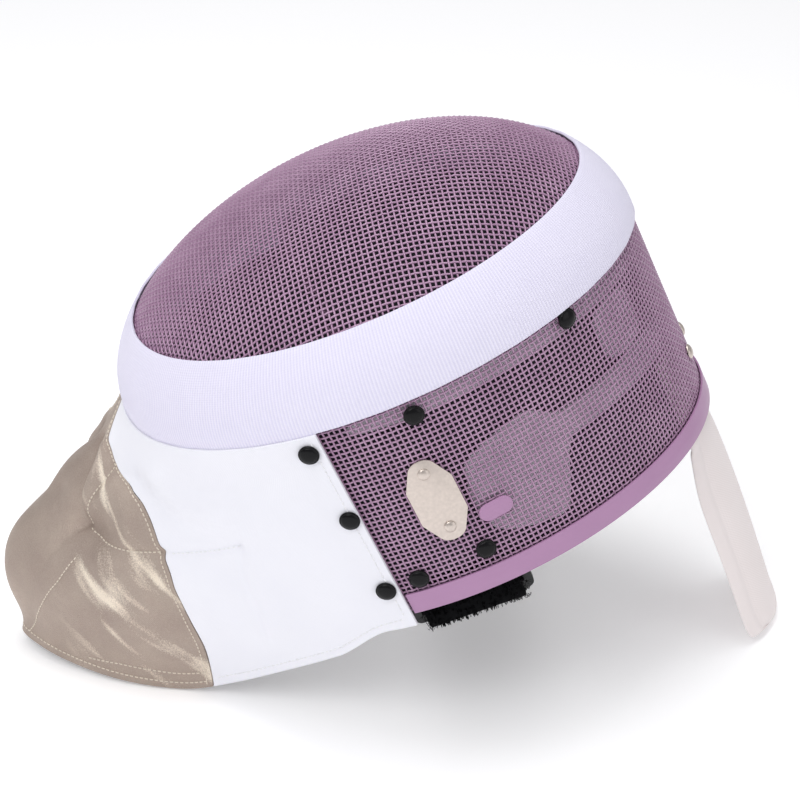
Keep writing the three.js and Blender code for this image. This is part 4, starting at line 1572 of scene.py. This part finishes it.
@dataclass
class Tongue:
    """Padded spring tongue from inside the top of the wall to the floor.

    Attributes:
        width: width in millimetres.
        thickness: thickness in millimetres.
        cup: depth of its cupped section.
        twist: how far it is turned, in degrees.
        reach: how far its tip stands out beyond the rim's foot.
        round_length: length over which its end is rounded.
        groove, bead: of the piped edge, each its depth and, as shares of half the width, its
            place and width.
        backing_inside: offset of the backing's inner face.
    """

    width: float = 74.0
    thickness: float = 8.0
    cup: float = 18.0
    twist: float = 5.0
    reach: float = 57.0
    round_length: float = 64.0
    groove: tuple = (0.55, 0.79, 0.07)
    bead: tuple = (0.15, 0.93, 0.06)
    backing_inside: float = 8.4
    root: Table = Table(
        ("depth", "clear", "cup"), ((0.531, 0.5, 0.46), (0.766, 1, 0.46), (0.989, 0.5, 0.5))
    )
    run: Table = Table(
        ("out", "height", "cup"),
        (
            (0.053, 0.897, 0.75),
            (0.333, 0.679, 1),
            (0.614, 0.424, 1),
            (0.895, 0.1455, 0.95),
            (1, 0.0424, 0.9),
            (0.982, -0.0121, 0.85),
        ),
    )

    def ridge(self) -> Array:
        """Knots of the outer ridge: forward, cup times 100 and height, in millimetres."""
        foot = FORM.point(0, 2, 0) / MM
        knots = []
        for depth, clear, cup in self.root.rows:
            at = FORM.point(0, 1 + depth, -self.backing_inside - clear) / MM
            knots.append((at[0], cup * 100, at[2]))
        for out, height, cup in self.run.rows:
            knots.append((foot[0] + out * self.reach, cup * 100, foot[2] * height))
        return np.array(knots)

    def place(self, turn: Array, share: Array) -> Array:
        """Points of the pad."""
        knots = self.ridge()
        line = centripetal(knots, np.linspace(0, 1, 201))
        length = float(np.linalg.norm(np.diff(line, axis=0), axis=1).sum())
        share = mix(share, 0.5 - 0.5 * np.cos(math.pi * share), 0.35)
        at = centripetal(knots, share)
        ahead, behind = np.minimum(1, share + 0.01), np.maximum(0, share - 0.01)
        along = centripetal(knots, ahead) - centripetal(knots, behind)
        along[:, 1] = 0
        along = unit(along)
        outward = np.stack([-along[:, 2], np.zeros(len(along)), along[:, 0]], axis=1)
        to_tip = (1 - share) * length
        twist = math.radians(self.twist) * smooth((share - 0.3) / 0.2)
        rounding = np.maximum(0, 1 - to_tip / self.round_length)
        rounded = np.sqrt(np.clip(1 - rounding**2, 0.0, 1))
        root_end = np.clip(share / 0.02, 0, 1) ** 0.5
        tip_end = np.clip(to_tip / 9, 0, 1) ** 0.5
        wide, deep = blunted(np.cos(turn), 0.75), blunted(np.sin(turn), 0.8)
        side = self.width / 2 * rounded * root_end * wide
        cup = self.cup * at[:, 1] / 100 * (side / (self.width / 2)) ** 2
        (cut, cut_at, cut_width), (rise, rise_at, rise_width) = self.groove, self.bead
        groove = cut * bell(np.abs(wide) - cut_at, cut_width)
        groove = groove - rise * bell(np.abs(wide) - rise_at, rise_width)
        piping = 1.0 - groove * smooth((to_tip - 6) / 20)
        half_thickness = self.thickness / 2 * root_end * tip_end * piping
        depth = cup + self.thickness / 2 - deep * half_thickness
        turned_side = side * np.cos(twist) - depth * np.sin(twist)
        turned_depth = depth * np.cos(twist) - side * np.sin(twist)
        base = np.stack([at[:, 0], turned_side, at[:, 2]], axis=1)
        return keep_over_floor((base - outward * turned_depth[:, None]) * MM)

    def build(self) -> None:
        """Pads the tongue."""
        piece = wrapped_ball("tongue_pad", 96, 120, self.place, (0.16, 0.25))
        dress(piece, Finish.TONGUE, "tongue")


# Fittings


@dataclass(frozen=True)
class Snap:
    """A black snap cap.

    Attributes:
        node: start of the CAD nodes' names.
        angle: ring angle.
        depth: share of the wall's depth.
        lift: height of its foot over the surface in millimetres.
        radius: radius in millimetres.
        height: height in millimetres.
        disc: share of the height that its straight side takes up.
        dome: the dome's radius, height and middle, as shares of the cap's radius and height.
    """

    node: str
    angle: float
    depth: float
    lift: float = 0.3
    radius: float = 5.8
    height: float = 3.0
    disc: float = 0.55
    dome: tuple = (0.86, 0.52, 0.47)

    def model(self, name: str) -> Piece:
        """Domed cap with a rolled edge, on the origin."""
        mesh, radius, height = bpy.ops.mesh, self.radius * MM, self.height * MM
        depth, (wide, tall, middle) = height * self.disc, self.dome
        sizes = {"vertices": 48, "radius": radius, "depth": depth}
        disc = primitive(name, mesh.primitive_cylinder_add, at=(0, 0, depth / 2), **sizes)
        round_edges(disc, 0.0006)
        scale, at = (radius * wide, radius * wide, height * tall), (0, 0, height * middle)
        cells = {"segments": 48, "ring_count": 24, "radius": 1}
        dome = primitive(name + "_dome", mesh.primitive_uv_sphere_add, scale, at, **cells)
        return join(name, [disc, dome])

    def build(self) -> None:
        """Puts the cap on both sides of the mask."""
        for side, way in SIDES:
            piece = self.model(f"{self.node}_{side}_cap")
            angle, station = self.angle * way, 1 + self.depth
            down = unit(FORM.point(angle, station + 0.05) - FORM.point(angle, station))
            foot = FORM.point(angle, station, self.lift)
            stand_on(piece, foot, FORM.outward(angle, station), down)
            smooth_shade(piece, 35)
            dress(piece, Finish.BLACK_ENAMEL, f"{self.node}_{side}")


ON_BIB = Bib.lap_lift + Bib.thickness + Snap.lift
SNAPS = (
    Snap("snap_bib_upper", 108.4, 0.083, ON_BIB),
    Snap("snap_bib_middle", 107.4, 0.441, ON_BIB),
    Snap("snap_bib_lower", 107.8, 0.832, ON_BIB),
    Snap("snap_temple", 86.2, 0.078),
    Snap("snap_crown", 48.8, 0.045),
    Snap("snap_strap", 85.4, 0.804),
    Snap("snap_rim", 100.6, 0.831),
)


@dataclass
class Fittings:
    """Rivets, plate and tab of the wall.

    Attributes:
        plate_length, plate_width, plate_thickness: sizes of the plate in millimetres.
        plate_angle, plate_station: where it stands.
        tab_length, tab_width: sizes of the tab.
        tab_angle, tab_station: where it stands.
        lift: height of their feet over the surface.
        rivet_radius, rivet_height: sizes of the tongue's rivets.
        rivet_angle, rivet_station: where the left one stands.
        plate_rivet_radius, plate_rivet_height: sizes of the plate's rivets.
        plate_rivet_place: their distance from the plate's middle, as a share of its length.
    """

    plate_length: float = 54.0
    plate_width: float = 27.0
    plate_thickness: float = 0.9
    plate_angle: float = 89.8
    plate_station: float = 1.493
    tab_length: float = 20.0
    tab_width: float = 11.0
    tab_angle: float = 80.0
    tab_station: float = 1.643
    lift: float = 0.3
    rivet_radius: float = 4.5
    rivet_height: float = 2.4
    rivet_angle: float = 7.0
    rivet_station: float = 1.735
    plate_rivet_radius: float = 3.5
    plate_rivet_height: float = 1.6
    plate_rivet_place: float = 0.34

    def flat_plate(self, name: str, outline: Array, bevel: float) -> Piece:
        """Flat plate with an outline, on the origin.

        Args:
            name: the piece's name.
            outline: points of the outline in millimetres, in order.
            bevel: width of the bevel in millimetres.

        Returns:
            The new piece.
        """
        count = len(outline)
        circle = {"vertices": count, "radius": 1, "fill_type": "NGON"}
        piece = primitive(name, bpy.ops.mesh.primitive_circle_add, **circle)
        put_vertices(piece, np.hstack([outline, np.zeros((count, 1))]) * MM)
        if piece.data.polygons[0].normal.z < 0:
            in_edit(piece, lambda: bpy.ops.mesh.flip_normals())
        apply_modifier(piece, "SOLIDIFY", thickness=self.plate_thickness * MM, offset=1)
        round_edges(piece, bevel * MM, 2)
        smooth_shade(piece, 35)
        return piece

    def plate_outline(self) -> Array:
        """Long octagon with rounded ends, in millimetres."""
        w, h = self.plate_width / 2, self.plate_length / 2
        start, control, end = np.array([(-w * 0.55, h * 0.86), (-w * 0.38, h), (0.0, h)])
        s = np.linspace(0, 1, 9)[:, None]
        curve = (1 - s) ** 2 * start + 2 * s * (1 - s) * control + s**2 * end
        quarter = np.array([[-w, h * 0.42], *curve])
        upper = np.vstack([quarter, (quarter * [-1, 1])[::-1][1:]])
        return np.vstack([upper, -upper])

    def tab_outline(self) -> Array:
        """Slot shape, in millimetres."""
        end = self.tab_width / 2
        reach = self.tab_length / 2 - end
        turn = np.linspace(-math.pi / 2, math.pi / 2, 13)
        right = np.stack([reach + end * np.cos(turn), end * np.sin(turn)], axis=1)
        return np.vstack([right, -right])

    def rivet(
        self, node: str, radius: float, height: float, foot: Array, outward: Array
    ) -> None:
        """Makes a domed rivet head with a rolled collar.

        Args:
            node: the CAD node that it stands for.
            radius: radius in millimetres.
            height: height in millimetres.
            foot: the place that it stands on, in metres.
            outward: direction away from the surface.
        """
        name, mesh, collar_radius = node + "_head", bpy.ops.mesh, 0.3 * MM
        scale = (radius * MM, radius * MM, height * MM)
        cells = {"segments": 40, "ring_count": 20, "radius": 1}
        head = primitive(name, mesh.primitive_uv_sphere_add, scale, **cells)
        put_vertices(head, keep_over_floor(vertices(head)))
        cells = {"major_segments": 40, "minor_segments": 8}
        radii = {"major_radius": radius * 0.92 * MM, "minor_radius": collar_radius}
        at = (0, 0, collar_radius)
        collar = primitive(name + "_collar", mesh.primitive_torus_add, at=at, **cells, **radii)
        piece = join(name, [head, collar])
        stand_on(piece, foot, outward, np.array([0.0, 0.0, -1.0]))
        smooth_shade(piece, 60)
        dress(piece, Finish.STEEL, node)

    def build(self) -> None:
        """Puts the fittings on the wall."""
        for side, way in SIDES:
            angle, station = self.rivet_angle * way, self.rivet_station
            foot, outward = FORM.point(angle, station, self.lift), FORM.outward(angle, station)
            size = (self.rivet_radius, self.rivet_height)
            self.rivet(f"tongue_rivet_{side}", *size, foot, outward)
        angle, station = self.plate_angle, self.plate_station
        foot, outward = FORM.point(angle, station, self.lift), FORM.outward(angle, station)
        down = unit(FORM.point(angle, station + 0.05) - FORM.point(angle, station - 0.05))
        plate = self.flat_plate("side_plate_metal", self.plate_outline(), 0.25)
        stand_on(plate, foot, outward, down)
        dress(plate, Finish.STEEL, "side_plate")
        size = (self.plate_rivet_radius, self.plate_rivet_height)
        on_plate = outward * (self.plate_thickness + 0.02)
        for end, way in (("upper", -1), ("lower", 1)):
            along = down * way * self.plate_length * self.plate_rivet_place
            at = foot + (along + on_plate) * MM
            self.rivet(f"plate_rivet_{end}", *size, at, outward)
        angle, station = self.tab_angle, self.tab_station
        tab = self.flat_plate("side_tab_metal", self.tab_outline(), 0.3)
        stand_on(tab, FORM.point(angle, station, self.lift), FORM.outward(angle, station), down)
        dress(tab, Finish.STRIP, "side_tab")


@dataclass
class BackStrap:
    """Loop-pile strap across the opening, its buckles and their web tabs.

    Attributes:
        width, thickness: sizes of the strap in millimetres.
        centre: its place along the mask.
        buckle_length, buckle_height, bar: sizes of a buckle.
        buckle_drop: how far the buckle reaches below the rim's foot.
        buckle_thickness, buckle_corner: thickness of its bars and radius of its corners, in metres.
        buckle_side: its distance from the middle, as a share of half the rim's width.
        web_tab: sizes of the tab that holds a buckle, in metres.
        pile: number of loops.
        length: length of the strap in millimetres.
        leaning: how far a loop leans along the strap, and drifts across it, in millimetres.
    """

    width: float = 57.0
    thickness: float = 3.0
    centre: float = -3.0
    buckle_length: float = 71.0
    buckle_height: float = 29.0
    bar: float = 5.0
    buckle_drop: float = 15.0
    buckle_thickness: float = 0.004
    buckle_corner: float = 0.004
    buckle_side: float = 0.9
    web_tab: tuple = (0.036, 0.007, 0.0053)
    pile: int = 7200
    length: float = 330.0
    leaning: float = 2.2
    path: Table = Table(
        ("side", "below"),
        (
            (0.936, 2.6),
            (0.938, 11),
            (0.931, 16.4),
            (0.908, 18.4),
            (0.85, 18.6),
            (0.7, 19.5),
            (0.4, 26.8),
            (0, 30.4),
        ),
    )

    @property
    def rim_foot(self) -> float:
        """Depth of the rim's foot."""
        return FORM.shoulder_drop + FORM.wall_depth

    def middle_line(self) -> Array:
        """Side and depth along the strap's middle line, in millimetres."""
        half = np.array(self.path.rows) * [FORM.rim_width / 2, 1]
        line = np.vstack([half, (half[:-1] * [-1, 1])[::-1]])
        knots = np.stack([-line[:, 0], -self.rim_foot - line[:, 1]], axis=1)
        return evenly(centripetal(knots, np.linspace(0, 1, 400)), 0.5)

    def at(self, share: Array, across: Array, offset: Number) -> Array:
        """Points of the strap in metres.

        Args:
            share: shares along the strap.
            across: places across it in millimetres.
            offset: distance from its middle layer.

        Returns:
            The points.
        """
        fine = self.middle_line()
        numbers, spot = np.arange(len(fine)), np.clip(share, 0, 1) * (len(fine) - 1)
        slope = unit(np.gradient(fine, axis=0))
        side, depth = (np.interp(spot, numbers, fine[:, k]) for k in range(2))
        along_side, along_depth = (np.interp(spot, numbers, slope[:, k]) for k in range(2))
        y, f = side - along_depth * offset, depth + along_side * offset
        return FORM.to_floor(np.stack([self.centre + across + 0 * y, y, f], axis=-1))

    def fuzz(self) -> Piece:
        """Loops of the pile over both faces of the strap."""
        chance = np.random.default_rng(7)
        steps = np.linspace(0, 1, 5)[None]
        count = (self.pile, 1)
        past_edge = 1.6
        share = chance.random(count)
        across = (chance.random(count) - 0.5) * (self.width + past_edge)
        face = np.where(chance.random(count) < 0.72, -1.0, 1.0)
        lean, drift = ((chance.random(count) - 0.5) * self.leaning for _ in range(2))
        tall = 1.2 + chance.random(count) * 1.4
        drift = drift + past_edge * (across / (self.width / 2)) ** 5
        arc = np.sin(math.pi * steps) * tall
        offset = face * (self.thickness / 2 * 0.94 + arc)
        lines = self.at(share + lean * steps / self.length, across + drift * steps, offset)
        across_loop = np.repeat(unit(np.array([0.3, 0.9, 0.2]))[None], 5, axis=0)
        return Thread(0.00017, 3).piece("back_strap_pile", [(line, across_loop) for line in lines])

    def buckle(self, side: str, way: int) -> None:
        """Rectangular loop with rounded corners, and the web tab that holds it."""
        scale = (self.buckle_length * MM, self.buckle_height * MM, 1)
        loop = primitive(f"buckle_{side}_loop", bpy.ops.mesh.primitive_plane_add, scale, size=1)
        in_edit(
            loop,
            lambda: bpy.ops.mesh.bevel(offset=self.buckle_corner, affect="VERTICES", segments=5),
            lambda: bpy.ops.mesh.select_all(action="SELECT"),
            lambda: bpy.ops.mesh.inset(thickness=self.bar * MM),
            lambda: bpy.ops.mesh.delete(type="FACE"),
        )
        apply_modifier(loop, "SOLIDIFY", thickness=self.buckle_thickness, offset=0)
        round_edges(loop, 0.0011)
        bar_side = FORM.rim_width / 2 * self.buckle_side
        height = -self.rim_foot - self.buckle_drop + self.buckle_height / 2
        up = FORM.turn_to_floor(np.array([0.0, 0.0, 1.0]))
        outward = np.array([0.0, float(way), 0.0])
        at = FORM.to_floor(np.array([self.centre, way * bar_side, height]))
        stand_on(loop, at, outward, -up)
        smooth_shade(loop, 40)
        dress(loop, Finish.PLASTIC, f"buckle_{side}")
        name, cube = f"buckle_tab_{side}_web", bpy.ops.mesh.primitive_cube_add
        tab = primitive(name, cube, self.web_tab, size=1)
        round_edges(tab, 0.0009)
        height += self.buckle_height / 2 - self.bar / 2
        bar_to_tab = 4.95
        at = FORM.to_floor(np.array([self.centre, way * (bar_side + bar_to_tab), height]))
        stand_on(tab, at, outward, -up)
        smooth_shade(tab, 40)
        dress(tab, Finish.PILE, f"buckle_tab_{side}")

    def build(self) -> None:
        """Lays the strap and hangs the buckles."""

        def place(across: Array, down: Array) -> Array:
            """Points of the strap's middle layer."""
            return self.at(across, (down - 0.5) * self.width, 0.0)

        strap = wrapped_grid("back_strap_web", 150, 16, place, (0.32, self.width * MM))
        thicken(strap, self.thickness * MM, 0, 0.0008)
        smooth_shade(strap, 50)
        pile = dress(self.fuzz(), Finish.PILE)
        dress(strap, Finish.PILE, "back_strap")
        for side, way in SIDES:
            self.buckle(side, -way)


# Studio


@dataclass
class Studio:
    """Pale floor, soft lights and the photograph's camera.

    Attributes:
        azimuth: camera angle round the mask in degrees.
        elevation: camera angle over the floor.
        distance: distance to the point it looks at, in metres.
        aim: the point it looks at.
        lens: focal length on a 36 mm sensor.
        lights: name, place, size in metres and power in watts of each light.
        sky, sky_strength: colour and strength of the light from all round.
    """

    azimuth: float = -3.9208
    elevation: float = 30.4463
    distance: float = 1.26381
    aim: tuple = (0.00097, 0.0, 0.16214)
    lens: float = 96.34
    lights: tuple = (
        ("key", (-0.9, -1.1, 1.8), 1.2, 16.0),
        ("top", (-0.15, 0.1, 2.1), 1.1, 14.5),
        ("fill", (1.4, -1.3, 0.9), 1.4, 5.0),
    )
    sky: tuple = (0.98, 0.98, 1.0, 1.0)
    sky_strength: float = 0.49

    def aim_at(self, thing: Piece, place: Vector, target: Vector) -> None:
        """Puts a camera or lamp at a place and turns it to a target."""
        thing.location = place
        thing.rotation_mode = "QUATERNION"
        thing.rotation_quaternion = (target - place).to_track_quat("-Z", "Y")
        bpy.context.scene.collection.objects.link(thing)

    def camera(self) -> None:
        """Sets up the camera."""
        a, e = math.radians(self.azimuth), math.radians(self.elevation)
        back = Vector((math.sin(a) * math.cos(e), -math.cos(a) * math.cos(e), math.sin(e)))
        data = bpy.data.cameras.new("camera")
        data.lens, data.sensor_width = self.lens, 36.0
        data.clip_start, data.clip_end = 0.05, 30.0
        camera = bpy.data.objects.new("camera", data)
        self.aim_at(camera, Vector(self.aim) + back * self.distance, Vector(self.aim))
        bpy.context.scene.camera = camera

    def light(self, name: str, place: tuple, size: float, power: float) -> None:
        """Adds a soft square light that looks at the mask."""
        data = bpy.data.lights.new(name, "AREA")
        data.shape, data.size, data.energy = "SQUARE", size, power
        light = bpy.data.objects.new(name, data)
        self.aim_at(light, Vector(place), Vector((0.0, 0.0, 0.12)))

    def build(self) -> None:
        """Builds floor, lights and camera."""
        under = (0, 0, -0.0004)
        floor = primitive("floor", bpy.ops.mesh.primitive_plane_add, at=under, size=14)
        shade = Shade("floor")
        shade.set(Base_Color=(0.97, 0.97, 0.98, 1.0), Roughness=0.9)
        shade.set(Emission_Color=(1.0, 1.0, 1.0, 1.0), Emission_Strength=0.2)
        floor.data.materials.append(shade.material)
        world = bpy.data.worlds.new("studio")
        world.use_nodes = True
        inputs = world.node_tree.nodes["Background"].inputs
        inputs[0].default_value, inputs[1].default_value = self.sky, self.sky_strength
        bpy.context.scene.world = world
        bpy.context.scene.view_settings.view_transform = "Standard"
        for light in self.lights:
            self.light(*light)
        self.camera()


def main() -> None:
    """Builds and dresses the mask, piece by piece."""
    logging.basicConfig(level=logging.INFO, format="%(name)s %(message)s")
    parts = [FaceMesh(), SideMesh(), ElasticBand(), RimStrip(), Bib(), *PADS, *BACKINGS]
    parts += [Tongue(), *SNAPS, Fittings(), BackStrap(), Studio()]
    for part in parts:
        part.build()
        LOG.info("%s is done", type(part).__name__)


if __name__ == "__main__":
    main()
